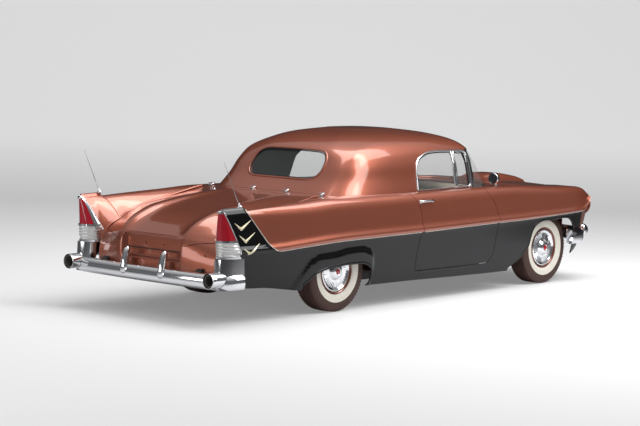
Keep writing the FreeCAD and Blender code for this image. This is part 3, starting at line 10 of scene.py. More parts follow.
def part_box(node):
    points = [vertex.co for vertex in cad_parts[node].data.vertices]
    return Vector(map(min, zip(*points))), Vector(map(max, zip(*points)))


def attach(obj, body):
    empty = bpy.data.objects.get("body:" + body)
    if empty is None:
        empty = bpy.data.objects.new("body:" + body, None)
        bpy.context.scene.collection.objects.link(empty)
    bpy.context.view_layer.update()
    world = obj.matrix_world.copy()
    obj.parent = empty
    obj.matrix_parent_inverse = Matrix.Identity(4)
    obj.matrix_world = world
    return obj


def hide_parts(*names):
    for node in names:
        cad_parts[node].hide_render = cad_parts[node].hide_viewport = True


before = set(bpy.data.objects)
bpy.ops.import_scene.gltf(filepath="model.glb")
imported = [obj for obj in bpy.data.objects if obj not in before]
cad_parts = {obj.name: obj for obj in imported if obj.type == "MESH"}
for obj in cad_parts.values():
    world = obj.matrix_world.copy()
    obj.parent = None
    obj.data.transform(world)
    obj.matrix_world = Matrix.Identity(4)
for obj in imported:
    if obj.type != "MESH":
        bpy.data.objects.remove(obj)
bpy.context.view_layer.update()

# The camera stands behind the car on its right, a little over the belt, with a long lens. Its place
# is given from the rear axle, and its turns are those of a tripod: round, down and over.
rear_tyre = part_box("tyre_rear_right")
front_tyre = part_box("tyre_front_right")
rear_axle_y = (rear_tyre[0].y + rear_tyre[1].y) / 2
front_axle_y = (front_tyre[0].y + front_tyre[1].y) / 2
wheelbase = front_axle_y - rear_axle_y
camera_place = Vector((11.841, rear_axle_y - 12.426, 2.388))
camera_yaw, camera_pitch, camera_roll = (math.radians(a) for a in (42.014, -5.261, 1.262))
ahead = Vector((-math.sin(camera_yaw) * math.cos(camera_pitch),
                math.cos(camera_yaw) * math.cos(camera_pitch), math.sin(camera_pitch)))
level = Vector((math.cos(camera_yaw), math.sin(camera_yaw), 0))
upright = level.cross(ahead)
camera_right = level * math.cos(camera_roll) + upright * math.sin(camera_roll)
camera_up = upright * math.cos(camera_roll) - level * math.sin(camera_roll)
camera_data = bpy.data.cameras.new("camera")
camera_data.lens = 108.22
camera_data.sensor_width = 36
camera_data.clip_end = 200
camera = bpy.data.objects.new("camera", camera_data)
bpy.context.scene.collection.objects.link(camera)
camera.matrix_world = Matrix.Translation(camera_place) @ Matrix(
    (camera_right, camera_up, -ahead)).transposed().to_4x4()
bpy.context.scene.camera = camera


# The studio is a pale sweep: a floor that curves up into a wall behind the car. Soft boxes hang over
# the car, high at its side and low behind it. The rest of the room is a dim grey.
class Wire:
    """An output socket of a shader tree that takes part in sums, each adding its Math node."""

    def __init__(self, tree, socket):
        self.tree = tree
        self.socket = socket

    def combined(self, operation, first, second=None):
        values = {k: v for k, v in enumerate((first, second)) if v is not None}
        return self.tree.add("ShaderNodeMath", {"operation": operation}, values)

    def __add__(self, other):
        return self.combined("ADD", self, other)

    def __radd__(self, other):
        return self.combined("ADD", other, self)

    def __rsub__(self, other):
        return self.combined("SUBTRACT", other, self)

    def __mul__(self, other):
        return self.combined("MULTIPLY", self, other)

    def __truediv__(self, other):
        return self.combined("DIVIDE", self, other)

    def wave(self):
        return self.combined("SINE", self)

    def root(self):
        return self.combined("SQRT", self)


class Tree:
    """A node tree that is built by adding nodes with their settings first and then their sockets."""

    def __init__(self, owner):
        owner.use_nodes = True
        self.nodes = owner.node_tree.nodes
        self.links = owner.node_tree.links
        self.nodes.clear()

    def add(self, kind, settings=None, sockets=None, out=0):
        """A new node, as the wire from one of its outputs."""
        node = self.nodes.new(kind)
        for name, value in (settings or {}).items():
            if name == "stops":
                for k, (place, shade) in enumerate(value):
                    ramp = node.color_ramp.elements
                    stop = ramp[k] if k < 2 else ramp.new(place)
                    stop.position = place
                    stop.color = (*shade, 1)
            else:
                setattr(node, name, value)
        for name, value in (sockets or {}).items():
            if isinstance(value, Wire):
                self.links.new(value.socket, node.inputs[name])
            else:
                node.inputs[name].default_value = value
        return Wire(self, node.outputs[out]) if node.outputs else node

    def place(self):
        """The point on the piece, as Object coordinates."""
        return self.add("ShaderNodeTexCoord", out="Object")

    def parts(self, vector):
        """A vector's three numbers."""
        split = self.add("ShaderNodeSeparateXYZ", sockets={0: vector}).socket.node
        return [Wire(self, socket) for socket in split.outputs]

    def noise(self, vector, scale, detail=3.0, roughness=0.5):
        return self.add("ShaderNodeTexNoise", {}, {"Vector": vector, "Scale": scale, "Detail": detail,
                                                   "Roughness": roughness})

    def blend(self, amount, first, second):
        return self.add("ShaderNodeMix", {"data_type": "RGBA"}, {0: amount, 6: first, 7: second}, 2)

    def ramp(self, value, stops):
        return self.add("ShaderNodeValToRGB", {"stops": stops}, {0: value})

    def bump(self, height, distance, strength=1.0):
        return self.add("ShaderNodeBump", {}, {"Height": height, "Distance": distance,
                                               "Strength": strength})


def finish_of(name, colour, metallic=0.0, roughness=0.5, pattern=None, **constants):
    """A material with one Principled shader. A pattern function gives what varies over the surface."""
    material = bpy.data.materials.new(name)
    tree = Tree(material)
    sockets = {"Base Color": (*colour, 1), "Metallic": metallic, "Roughness": roughness}
    sockets.update({key.replace("_", " "): value for key, value in constants.items()})
    if pattern:
        sockets.update(pattern(tree))
    shader = tree.add("ShaderNodeBsdfPrincipled", {}, sockets)
    tree.add("ShaderNodeOutputMaterial", {}, {"Surface": shader})
    return material


def mesh_object(name, points, faces, material=None, tints=None):
    """A mesh with its place in its points, its object at the origin."""
    mesh = bpy.data.meshes.new(name)
    mesh.from_pydata([tuple(p) for p in points], [], [tuple(int(k) for k in f) for f in faces])
    for entry in material if isinstance(material, (list, tuple)) else [material]:
        if entry:
            mesh.materials.append(entry)
    if tints is not None:
        mesh.polygons.foreach_set("material_index", tints)
    mesh.validate()
    piece = bpy.data.objects.new(name, mesh)
    bpy.context.scene.collection.objects.link(piece)
    return piece


def grid_faces(rows, columns, around=False):
    """Faces of a grid of points in rows. With around, the last column meets the first."""
    faces = []
    for i in range(rows - 1):
        for j in range(columns if around else columns - 1):
            k = (j + 1) % columns
            faces.append((i * columns + j, i * columns + k, (i + 1) * columns + k,
                          (i + 1) * columns + j))
    return faces


def paper_pattern(tree):
    """Pale to the camera. In the paint's reflections the floor is darker farther from the car."""
    seen = tree.add("ShaderNodeLightPath", out="Is Camera Ray")
    x, y, z = tree.parts(tree.place())
    run = (x * x + y * y).root()
    far = tree.ramp(run / floor_fade, [(0.0, (0.68, 0.68, 0.70)), (0.24, (0.66, 0.66, 0.68)),
                                       (0.36, (0.16, 0.16, 0.165)), (1.0, (0.06, 0.06, 0.065))])
    wall = tree.ramp(z / wall_fade, [(0.0, (0.22, 0.22, 0.22)), (0.12, (0.40, 0.40, 0.40)),
                                     (1.0, (0.50, 0.50, 0.505))])
    # A camera outside the wall looks through it.
    outside = tree.add("ShaderNodeNewGeometry", out="Backfacing")
    return {"Base Color": tree.blend(seen, far, (*sweep_colour, 1)),
            "Alpha": 1.0 - outside * seen,
            "Emission Color": tree.blend(seen, (0, 0, 0, 1), wall)}


sweep_colour = (0.62, 0.62, 0.625)
floor_fade = 14.0
wall_fade = 6.0
sweep_half_width = 34
sweep_turn = 7.0
sweep_height = 16
behind_car = 9.0
near_edge = -32
turn_steps = 24
profile = [(near_edge, 0.0)]
for k in range(turn_steps + 1):
    turn = math.pi / 2 * k / turn_steps
    profile.append((behind_car + sweep_turn * math.sin(turn), sweep_turn * (1 - math.cos(turn))))
profile.append((behind_car + sweep_turn, sweep_height))
flat_ahead = Vector((ahead.x, ahead.y, 0)).normalized()
sweep_points = [flat_ahead * run + level * (side * sweep_half_width) + Vector((0, 0, rise))
                for run, rise in profile for side in (-1, 1)]
sweep = mesh_object("studio_sweep", sweep_points, grid_faces(len(profile), 2),
                    finish_of("studio_paper", sweep_colour, roughness=0.75, pattern=paper_pattern,
                              Specular_IOR_Level=0.2, Emission_Strength=1.0))
sweep.data.polygons.foreach_set("use_smooth", [True] * len(sweep.data.polygons))

world = bpy.data.worlds.new("studio_room")
bpy.context.scene.world = world
room = Tree(world)
direction = room.add("ShaderNodeTexCoord", out="Generated")
height_in_room = room.parts(direction)[2]
room_light = room.ramp(height_in_room, [(0.0, (0.16, 0.16, 0.165)), (0.20, (0.10, 0.10, 0.105)),
                                        (0.50, (0.30, 0.30, 0.31)), (1.0, (0.80, 0.80, 0.80))])
room_shade = room.add("ShaderNodeBackground", {}, {"Color": room_light, "Strength": 1.0})
room.add("ShaderNodeOutputWorld", {}, {"Surface": room_shade})


def soft_box(name, place, target, width, length, power):
    """A rectangular lamp that faces a point."""
    data = bpy.data.lights.new(name, "AREA")
    data.shape = "RECTANGLE"
    data.size = width
    data.size_y = length
    data.energy = power
    lamp = bpy.data.objects.new(name, data)
    bpy.context.scene.collection.objects.link(lamp)
    toward = (Vector(target) - Vector(place)).normalized()
    lamp.matrix_world = Matrix.Translation(place) @ toward.to_track_quat("-Z", "Y").to_matrix().to_4x4()


soft_box("box_over_car", (1.2, 1.0, 5.6), (0.3, 0.4, 0.5), 3.2, 8.0, 300)
soft_box("box_by_side", (5.2, 2.0, 7.4), (0.5, 0, 0.7), 3.4, 10.0, 520)
soft_box("box_behind", (-1.0, -8.5, 1.1), (0, -2.6, 0.55), 7.0, 1.7, 110)
bpy.context.scene.view_settings.view_transform = "Standard"


# The body's sides are pressed steel with crowned fenders. They're painted in two colours that meet
# under a raised bead: copper with fine metal flake over it, and gloss black below.
def copper_pattern(tree):
    place = tree.place()
    flake = tree.noise(place, 900.0, 2.0)
    cloud = tree.noise(place, 2.5, 2.0)
    colour = tree.blend(cloud, (0.335, 0.087, 0.045, 1), (0.375, 0.100, 0.053, 1))
    return {"Base Color": colour, "Roughness": 0.27 + flake * 0.10,
            "Normal": tree.bump(flake, 0.0004, 0.25)}


def black_pattern(tree):
    ripple = tree.noise(tree.place(), 3.0, 1.0)
    return {"Roughness": 0.05 + ripple * 0.03}


copper_paint = finish_of("copper_paint", (0.48, 0.16, 0.095), 0.62, 0.3, copper_pattern,
                         Coat_Weight=1.0, Coat_Roughness=0.04)
black_paint = finish_of("black_paint", (0.004, 0.004, 0.0045), 0.0, 0.06, black_pattern,
                        Specular_IOR_Level=0.05, Coat_Weight=0.6, Coat_Roughness=0.02)

half_width = 0.985
belt_height = 1.0
panel_sheet = 0.012
# Stations are shares of the wheelbase from the rear axle. Heights are shares of the belt's height
# and distances out are shares of the half width: crest, bead, sill and widest line.
side_shares = np.array((
    (-0.475, 0.940, 0.600, 0.330, 0.956), (-0.420, 0.942, 0.598, 0.325, 0.965),
    (-0.368, 0.949, 0.595, 0.300, 0.975), (-0.287, 0.962, 0.595, 0.284, 0.986),
    (-0.161, 0.980, 0.612, 0.233, 0.995), (-0.030, 0.9995, 0.630, 0.217, 0.999),
    (0.161, 0.9995, 0.638, 0.205, 0.999), (0.323, 0.9995, 0.643, 0.200, 0.999),
    (0.516, 0.9995, 0.654, 0.188, 0.999), (0.697, 0.9995, 0.664, 0.180, 0.999),
    (0.839, 0.992, 0.670, 0.177, 0.999), (1.000, 0.966, 0.684, 0.200, 0.998),
    (1.110, 0.950, 0.695, 0.250, 0.990), (1.168, 0.938, 0.704, 0.330, 0.975),
    (1.195, 0.924, 0.742, 0.450, 0.957), (1.210, 0.902, 0.772, 0.500, 0.942),
    (1.219, 0.876, 0.826, 0.600, 0.925)))
# Where the deck's edge meets the fin: station, distance out and height
fin_foot_shares = np.array((
    (-0.475, 0.742, 0.545), (-0.428, 0.735, 0.590), (-0.416, 0.733, 0.644), (-0.394, 0.732, 0.706),
    (-0.356, 0.731, 0.762), (-0.326, 0.731, 0.813), (-0.280, 0.730, 0.860), (-0.200, 0.730, 0.908),
    (-0.110, 0.730, 0.960), (-0.030, 0.730, 0.9995), (0.161, 0.730, 0.9995)))
# Down the side from the crest: inset from the widest line and share of the rise from bead to crest,
# first where the crest is a narrow fin, then where it is a broad shoulder
fin_side_shares = np.array(((0.079, 1.0), (0.062, 0.985), (0.050, 0.93), (0.040, 0.80), (0.028, 0.50),
                            (0.018, 0.22), (0.003, 0.115), (0.0, 0.07), (0.006, 0.02), (0.022, 0.0)))
shoulder_shares = np.array(((0.135, 1.0), (0.112, 0.985), (0.078, 0.925), (0.050, 0.77), (0.032, 0.45),
                            (0.020, 0.22), (0.003, 0.115), (0.0, 0.07), (0.006, 0.02), (0.022, 0.0)))
lower_side_shares = np.array(((0.024, 1.0), (0.030, 0.965), (0.040, 0.83), (0.062, 0.45), (0.080, 0.23),
                              (0.098, 0.05), (0.105, 0.0)))
# From the fin's foot to its crest: share of the way out and of the way up
fin_rise_shares = np.array(((0.0, 0.0), (0.22, 0.45), (0.48, 0.80), (0.72, 0.95), (0.88, 0.99)))
fin_stations = (-0.40, -0.06)


def along(share):
    """A place forward, as a share of the wheelbase from the rear axle."""
    return rear_axle_y + share * wheelbase


def share_at(y):
    return (y - rear_axle_y) / wheelbase


def follow(table, place):
    """Reads a table of rows by its first column, with a cubic curve that doesn't overshoot."""
    places = table[:, 0]
    place = min(max(place, places[0]), places[-1])
    k = min(max(int(np.searchsorted(places, place, side="right")) - 1, 0), len(places) - 2)
    low, high = table[k], table[k + 1]
    before, after = table[max(k - 1, 0)], table[min(k + 2, len(places) - 1)]
    span = high[0] - low[0]
    t = (place - low[0]) / span
    rise = high[1:] - low[1:]
    slope_low = np.where(rise * (low[1:] - before[1:]) > 0,
                         (high[1:] - before[1:]) / (high[0] - before[0]) * span, 0.0)
    slope_high = np.where(rise * (after[1:] - high[1:]) > 0,
                          (after[1:] - low[1:]) / (after[0] - low[0]) * span, 0.0)
    return (low[1:] * (2 * t ** 3 - 3 * t ** 2 + 1) + slope_low * (t ** 3 - 2 * t ** 2 + t)
            + high[1:] * (3 * t ** 2 - 2 * t ** 3) + slope_high * (t ** 3 - t ** 2))


def rounded(points, steps, around=False):
    """A smooth line through points, with a number of steps between each two."""
    points = np.array(points, float)
    count = len(points)
    line = []
    for k in range(count if around else count - 1):
        a, b, c, d = (points[(k + n) % count] if around else points[min(max(k + n, 0), count - 1)]
                      for n in (-1, 0, 1, 2))
        for step in range(steps):
            t = step / steps
            line.append(0.5 * (2 * b + (c - a) * t + (2 * a - 5 * b + 4 * c - d) * t ** 2
                               + (3 * b - a - 3 * c + d) * t ** 3))
    if not around:
        line.append(points[-1])
    return np.array(line)


def upper_line(share, start="fin"):
    """The copper part of one section: distance out and height, from its inner edge to the bead."""
    crest, bead, _, width = follow(side_shares, share)
    fin = min(max((fin_stations[1] - share) / (fin_stations[1] - fin_stations[0]), 0), 1)
    fin = fin * fin * (3 - 2 * fin)
    rows = fin * fin_side_shares + (1 - fin) * shoulder_shares
    side = [((width - inset) * half_width, (bead + rise * (crest - bead)) * belt_height)
            for inset, rise in rows]
    if start == "fin":
        out, foot = follow(fin_foot_shares, share)
        out, foot = out * half_width, foot * belt_height
    else:
        out, foot = start * half_width, side[0][1]
    inner = [(out + a * (side[0][0] - out), foot + b * (side[0][1] - foot)) for a, b in fin_rise_shares]
    return rounded(inner + side, 4)


def lower_line(share):
    """The black part of one section, from under the bead down to the sill."""
    _, bead, sill, width = follow(side_shares, share)
    return rounded([((width - inset) * half_width, (sill + rise * (bead - sill)) * belt_height)
                    for inset, rise in lower_side_shares], 5)


def section_grid(line, low, high, step=0.028, **options):
    """Rows of points of the body's surface between two stations."""
    count = max(int(round((high - low) * wheelbase / step)), 2) + 1
    rows = []
    for share in np.linspace(low, high, count):
        section = line(share, **options)
        rows.append([(x, along(share), z) for x, z in section])
    return np.array(rows)


def normals_of(grid):
    """Outward normals of a grid of points whose rows run forward and whose columns run outward."""
    forward = np.gradient(grid, axis=0)
    across = np.gradient(grid, axis=1)
    normals = np.cross(across, forward)
    return normals / np.maximum(np.linalg.norm(normals, axis=2, keepdims=True), 1e-9)


def shell(name, grid, thickness, material, inner=None):
    """A closed sheet: a grid of points outside, the same moved inward, and four edges between."""
    if inner is None:
        inner = grid - normals_of(grid) * thickness
    rows, columns = grid.shape[:2]
    count = rows * columns
    faces = grid_faces(rows, columns)
    faces += [tuple(count + k for k in face[::-1]) for face in grid_faces(rows, columns)]
    rim = [j for j in range(columns)] + [i * columns + columns - 1 for i in range(1, rows)]
    rim += [(rows - 1) * columns + j for j in range(columns - 2, -1, -1)]
    rim += [i * columns for i in range(rows - 2, 0, -1)]
    for a, b in zip(rim, rim[1:] + rim[:1]):
        faces.append((b, a, count + a, count + b))
    return mesh_object(name, np.concatenate([grid.reshape(-1, 3), inner.reshape(-1, 3)]), faces, material)


def prism(name, outline, low, high, axis=0):
    """A closed block from an outline in the plane square to an axis, for cutting."""
    count = len(outline)
    points = []
    for place in (low, high):
        for a, b in outline:
            point = [a, b]
            point.insert(axis, place)
            points.append(point)
    faces = [tuple(range(count))[::-1], tuple(range(count, 2 * count))]
    faces += [(k, (k + 1) % count, count + (k + 1) % count, count + k) for k in range(count)]
    piece = mesh_object(name, points, faces)
    turn_out(piece)
    return piece


def turn_out(piece):
    """Makes every face of a closed mesh point outward."""
    work = bmesh.new()
    work.from_mesh(piece.data)
    bmesh.ops.remove_doubles(work, verts=work.verts, dist=1e-6)
    bmesh.ops.recalc_face_normals(work, faces=work.faces)
    work.to_mesh(piece.data)
    work.free()
    return piece


def carve(piece, cutters, operation="DIFFERENCE"):
    """Cuts a piece with others, which stay as they are."""
    for cutter in cutters:
        step = piece.modifiers.new("carve", "BOOLEAN")
        step.operation = operation
        step.solver = "EXACT"
        step.object = cutter
    settle(piece)
    return piece


def settle(piece):
    """Turns a piece with its modifiers into a plain mesh."""
    shaped = bpy.data.meshes.new_from_object(piece.evaluated_get(bpy.context.evaluated_depsgraph_get()))
    piece.modifiers.clear()
    piece.data = shaped
    return piece


def smooth(piece, angle=32):
    """Smooth shading, with edges kept sharp where faces turn by more than an angle."""
    piece.data.polygons.foreach_set("use_smooth", [True] * len(piece.data.polygons))
    piece.data.set_sharp_from_angle(angle=math.radians(angle))
    return piece


def drop(*pieces):
    for piece in pieces:
        bpy.data.objects.remove(piece)


def opposite(piece, name):
    """The mirror image of a piece on the car's left."""
    mesh = piece.data.copy()
    mesh.transform(Matrix.Scale(-1, 4, (1, 0, 0)))
    mesh.flip_normals()
    twin = bpy.data.objects.new(name, mesh)
    bpy.context.scene.collection.objects.link(twin)
    return twin


def fit(piece, body, slot, *nodes):
    """Fixes a piece to its body and hides the nodes that it stands for. The slot is not used."""
    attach(piece, body)
    if nodes:
        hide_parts(*nodes)
    return piece


def fit_pair(piece, label, body, slot, node=None):
    """Fixes a right-hand piece and its mirror image. Names may hold {side}."""
    for side, each in (("right", piece), ("left", None)):
        each = each or opposite(piece, label.format(side="left"))
        each.name = label.format(side=side)
        nodes = [node.format(side=side)] if node else []
        fit(each, body.format(side=side), slot, *nodes)


# Outlines in the side view are points from the rear axle: metres forward and metres up
door_cut = ((0.937, 0.988), (0.983, 0.938), (1.012, 0.887), (1.037, 0.816), (1.043, 0.677),
            (1.016, 0.495), (1.005, 0.371), (1.019, 0.307), (1.057, 0.288), (1.54, 0.286),
            (2.03, 0.286), (2.11, 0.305), (2.162, 0.368), (2.166, 0.418), (2.185, 0.682),
            (2.163, 0.756), (2.142, 0.830), (2.096, 0.898), (2.039, 0.950))
rear_arch = ((-0.479, 0.269), (-0.414, 0.315), (-0.338, 0.363), (-0.222, 0.393), (-0.044, 0.409),
             (0.137, 0.416), (0.259, 0.411), (0.352, 0.376), (0.396, 0.319), (0.404, 0.257),
             (0.338, 0.208))
front_arch = ((2.446, 0.202), (2.646, 0.304), (2.677, 0.349), (2.733, 0.400), (2.743, 0.427),
              (2.782, 0.561), (2.894, 0.630), (3.081, 0.637), (3.321, 0.645), (3.433, 0.599),
              (3.491, 0.519), (3.515, 0.454))
blister = ((-0.606, 0.256), (-0.532, 0.360), (-0.440, 0.464), (-0.345, 0.509), (-0.150, 0.535),
           (0.149, 0.551), (0.313, 0.540), (0.387, 0.485), (0.411, 0.422), (0.414, 0.340),
           (0.386, 0.261), (0.38, 0.10), (-0.60, 0.10))
blister_rise = 0.016
blister_edge = 0.020
lamp_top = (-1.458, 0.962)
lamp_foot = (-1.260, 0.540)
lamp_edge = (lamp_foot, (-1.268, 0.570), (-1.287, 0.640), (-1.314, 0.710), (-1.352, 0.800), (-1.386, 0.870),
             (-1.420, 0.925), lamp_top)
door_gap = 0.005
cut_reach = (0.60, 1.10)
window_room = 1.06
underground = -0.05
edge_step = 0.02
# The panels' ends, as stations
tail_end, corner_end = -0.474, -0.409
door_rear, door_front = 0.344, 0.645
nose_end, nose_foot = 1.219, 1.165
hood_edge_share = 0.636


def from_axle(outline):
    return [(rear_axle_y + y, z) for y, z in outline]


def grown(outline, margin):
    """An outline moved outward by a margin, side by side."""
    outline = np.array(outline)
    sides = np.roll(outline, -1, axis=0) - outline
    outward = np.stack([sides[:, 1], -sides[:, 0]], axis=1)
    outward /= np.linalg.norm(outward, axis=1, keepdims=True)
    before = np.roll(outward, 1, axis=0)
    return outline + (before + outward) * margin / (1 + (before * outward).sum(1))[:, None]


def depth_inside(outline, y, z):
    """How far points lie inside an outline, less than zero outside it."""
    outline = np.array(outline)
    depth = np.full(y.shape, 1e9)
    inside = np.zeros(y.shape, bool)
    for (ya, za), (yb, zb) in zip(outline, np.roll(outline, -1, axis=0)):
        run = np.clip(((y - ya) * (yb - ya) + (z - za) * (zb - za))
                      / ((yb - ya) ** 2 + (zb - za) ** 2), 0, 1)
        depth = np.minimum(depth, np.hypot(y - ya - run * (yb - ya), z - za - run * (zb - za)))
        crosses = ((za > z) != (zb > z)) & (y < (yb - ya) * (z - za) / ((zb - za) or 1e-9) + ya)
        inside ^= crosses
    return np.where(inside, depth, -depth)


def door_block(margin):
    top = [(door_cut[end][0] - edge_step, window_room) for end in (-1, 0)]
    outline = [tuple(p) for p in rounded(door_cut, 3)] + top
    return prism("door_block", grown(from_axle(outline), margin), *cut_reach)


def arch_block(outline):
    line = [tuple(p) for p in rounded(outline, 4)]
    line = [(line[0][0] - edge_step, underground)] + line + [(line[-1][0], underground)]
    return prism("arch_block", from_axle(line), *cut_reach)


tail_wedge = prism("tail_wedge", from_axle([
    (-1.95, 0.2), (lamp_foot[0] + 0.11, 0.2), (lamp_foot[0] + 0.047, 0.44), *lamp_edge,
    (lamp_top[0] - 0.066, 1.103), (-1.95, 1.103)]), *cut_reach)
door_hole, door_form = door_block(door_gap), door_block(0.0)
rear_opening, front_opening = arch_block(rear_arch), arch_block(front_arch)

quarter_upper = shell("quarter_upper", section_grid(upper_line, tail_end, door_rear), panel_sheet,
                      copper_paint)
carve(quarter_upper, [tail_wedge, door_hole])
lower_grid = section_grid(lower_line, corner_end, door_rear, step=0.02)
swell = np.clip(depth_inside(from_axle(rounded(blister, 3)), lower_grid[..., 1], lower_grid[..., 2])
                / blister_edge, 0, 1)
lower_grid[..., 0] += blister_rise * swell * swell * (3 - 2 * swell)
quarter_lower = shell("quarter_lower", lower_grid, panel_sheet, black_paint)
carve(quarter_lower, [rear_opening, door_hole])
fender_upper = shell("fender_upper", section_grid(upper_line, door_front, nose_end, start=hood_edge_share),
                     panel_sheet, copper_paint)
carve(fender_upper, [door_hole])
fender_lower = shell("fender_lower", section_grid(lower_line, door_front, nose_foot), panel_sheet,
                     black_paint)
carve(fender_lower, [front_opening, door_hole])


def door_solid(low, high, inner):
    """A whole door, from its outer skin to its trim panel inside, with its three finishes."""
    rows = []
    for share in np.linspace(low, high, door_rows):
        upper, lower = upper_line(share, start=door_top_share), lower_line(share)
        line = [(inner, upper[0][1])] + list(upper) + list(lower[1:]) + [(inner, lower[-1][1])]
        rows.append([(x, along(share), z) for x, z in line])
    count, columns = len(rows), len(rows[0])
    faces = grid_faces(count, columns, around=True)
    faces += [tuple(range(columns))[::-1], tuple(range((count - 1) * columns, count * columns))]
    points = [p for row in rows for p in row]
    solid = turn_out(mesh_object("door_core", points, faces, [copper_paint, black_paint, door_trim]))
    carve(solid, [door_form], "INTERSECT")
    for face in solid.data.polygons:
        break_height = follow(side_shares, share_at(face.center.y))[1] * belt_height
        inside = face.normal.x < -0.7 and face.center.x < inner + 0.003
        face.material_index = 2 if inside else 0 if face.center.z > break_height else 1
    return solid


def vinyl_pattern(tree):
    grain = tree.noise(tree.place(), 260.0, 3.0)
    shade = tree.noise(tree.place(), 5.0, 2.0)
    return {"Base Color": tree.blend(shade, (0.60, 0.52, 0.42, 1), (0.68, 0.60, 0.50, 1)),
            "Roughness": 0.42 + grain * 0.2, "Normal": tree.bump(grain, 0.0006, 0.35)}


door_trim = finish_of("cream_vinyl", (0.64, 0.56, 0.46), 0.0, 0.5, vinyl_pattern)
door_rows = 48
door_top_share = 0.80
door_inside = 0.775
sill_height = 0.2795
door_core = door_solid(0.29, 0.715, door_inside)
sill_strip = shell("sill_strip", section_grid(lower_line, 0.345, door_front), panel_sheet, black_paint)
sill_top = prism("sill_top", from_axle([(0.9, sill_height), (2.2, sill_height), (2.2, 0.8), (0.9, 0.8)]),
                 *cut_reach)
carve(sill_strip, [sill_top])
for piece in (quarter_upper, quarter_lower, fender_upper, fender_lower, door_core, sill_strip):
    smooth(piece)
fit_pair(quarter_upper, "quarter_upper_{side}", "body", "copper_paint", "quarter_{side}")
fit_pair(quarter_lower, "quarter_lower_{side}", "body", "black_paint")
fit_pair(fender_upper, "fender_upper_{side}", "body", "copper_paint", "fender_{side}")
fit_pair(fender_lower, "fender_lower_{side}", "body", "black_paint")
fit_pair(door_core, "door_shell_{side}", "door_{side}", "copper_paint", "door_{side}")
fit_pair(sill_strip, "sill_skin_{side}", "body", "black_paint")

# The deck lid is one pressing with two raised ridges that run down to the plate recess. The tail panel
# under it carries the recess, with two holes for the plate, and ends over the bumper. Three lines run
# from the roof to the bumper: between the ridges, on a ridge and at the fin's foot.
deck_middle = ((-0.092, 0.998), (-0.25, 0.985), (-0.50, 0.952), (-0.76, 0.911), (-1.00, 0.861),
               (-1.17, 0.803), (-1.27, 0.754), (-1.335, 0.716), (-1.372, 0.695), (-1.376, 0.688),
               (-1.352, 0.678), (-1.350, 0.60), (-1.352, 0.52), (-1.366, 0.495), (-1.398, 0.482),
               (-1.404, 0.418))
deck_ridge = ((-0.092, 0.999), (-0.25, 0.992), (-0.50, 0.970), (-0.76, 0.940), (-1.00, 0.900),
              (-1.17, 0.845), (-1.27, 0.797), (-1.34, 0.738), (-1.378, 0.690), (-1.386, 0.675),
              (-1.398, 0.645), (-1.406, 0.60), (-1.410, 0.55), (-1.411, 0.515), (-1.410, 0.48),
              (-1.407, 0.418))
deck_foot = ((-0.092, 0.998), (-0.22, 0.976), (-0.44, 0.940), (-0.66, 0.905), (-0.87, 0.866),
             (-1.011, 0.811), (-1.104, 0.760), (-1.20, 0.714), (-1.262, 0.668), (-1.278, 0.652),
             (-1.300, 0.628), (-1.318, 0.60), (-1.334, 0.56), (-1.342, 0.525), (-1.346, 0.48),
             (-1.348, 0.418))
deck_half = 0.716
ridge_place = 0.385
# Across the lid from the middle to a ridge, and down from the ridge to the fin: place and share
to_ridge = np.array(((0.0, 0.0), (0.40, 0.02), (0.68, 0.09), (0.82, 0.34), (0.92, 0.84), (1.0, 1.0)))
to_recess = np.array(((0.0, 0.0), (0.86, 0.0), (0.885, 0.12), (0.93, 0.85), (0.965, 1.0), (1.0, 1.0)))
to_foot = np.array(((0.0, 0.0), (0.10, 0.05), (0.28, 0.24), (0.58, 0.58), (0.85, 0.88), (1.0, 1.0)))
recess_start = 9
line_steps = 6


def deck_grid(inset=0.0):
    """Rows of points over the whole tail, with an inset from the fins."""
    lines = [rounded(line, line_steps) for line in (deck_middle, deck_ridge, deck_foot)]
    outs = np.concatenate([np.linspace(0, 0.26, 8), np.linspace(0.28, ridge_place, 18),
                           np.linspace(0.40, deck_half - inset, 16)])
    rows = []
    for k, (middle, ridge, foot) in enumerate(zip(*lines)):
        sunk = min(max(k / line_steps - recess_start + 0.5, 0), 1)
        half = []
        for x in outs:
            if x <= ridge_place:
                share = x / ridge_place
                lift = (1 - sunk) * follow(to_ridge, share)[0] + sunk * follow(to_recess, share)[0]
                y, z = middle + (ridge - middle) * lift
            else:
                drop_share = follow(to_foot, (x - ridge_place) / (deck_half - ridge_place))[0]
                y, z = ridge + (foot - ridge) * drop_share
            half.append((x, rear_axle_y + y, z))
        rows.append([(-x, y, z) for x, y, z in half[:0:-1]] + half)
    return np.array(rows[::-1])


lid_seam = ((-0.80, 0.684), (-0.70, 0.676), (-0.50, 0.653), (-0.43, 0.632), (-0.375, 0.628),
            (-0.352, 0.6735), (0.352, 0.6735), (0.375, 0.628), (0.43, 0.632), (0.50, 0.653),
            (0.70, 0.676), (0.80, 0.684))
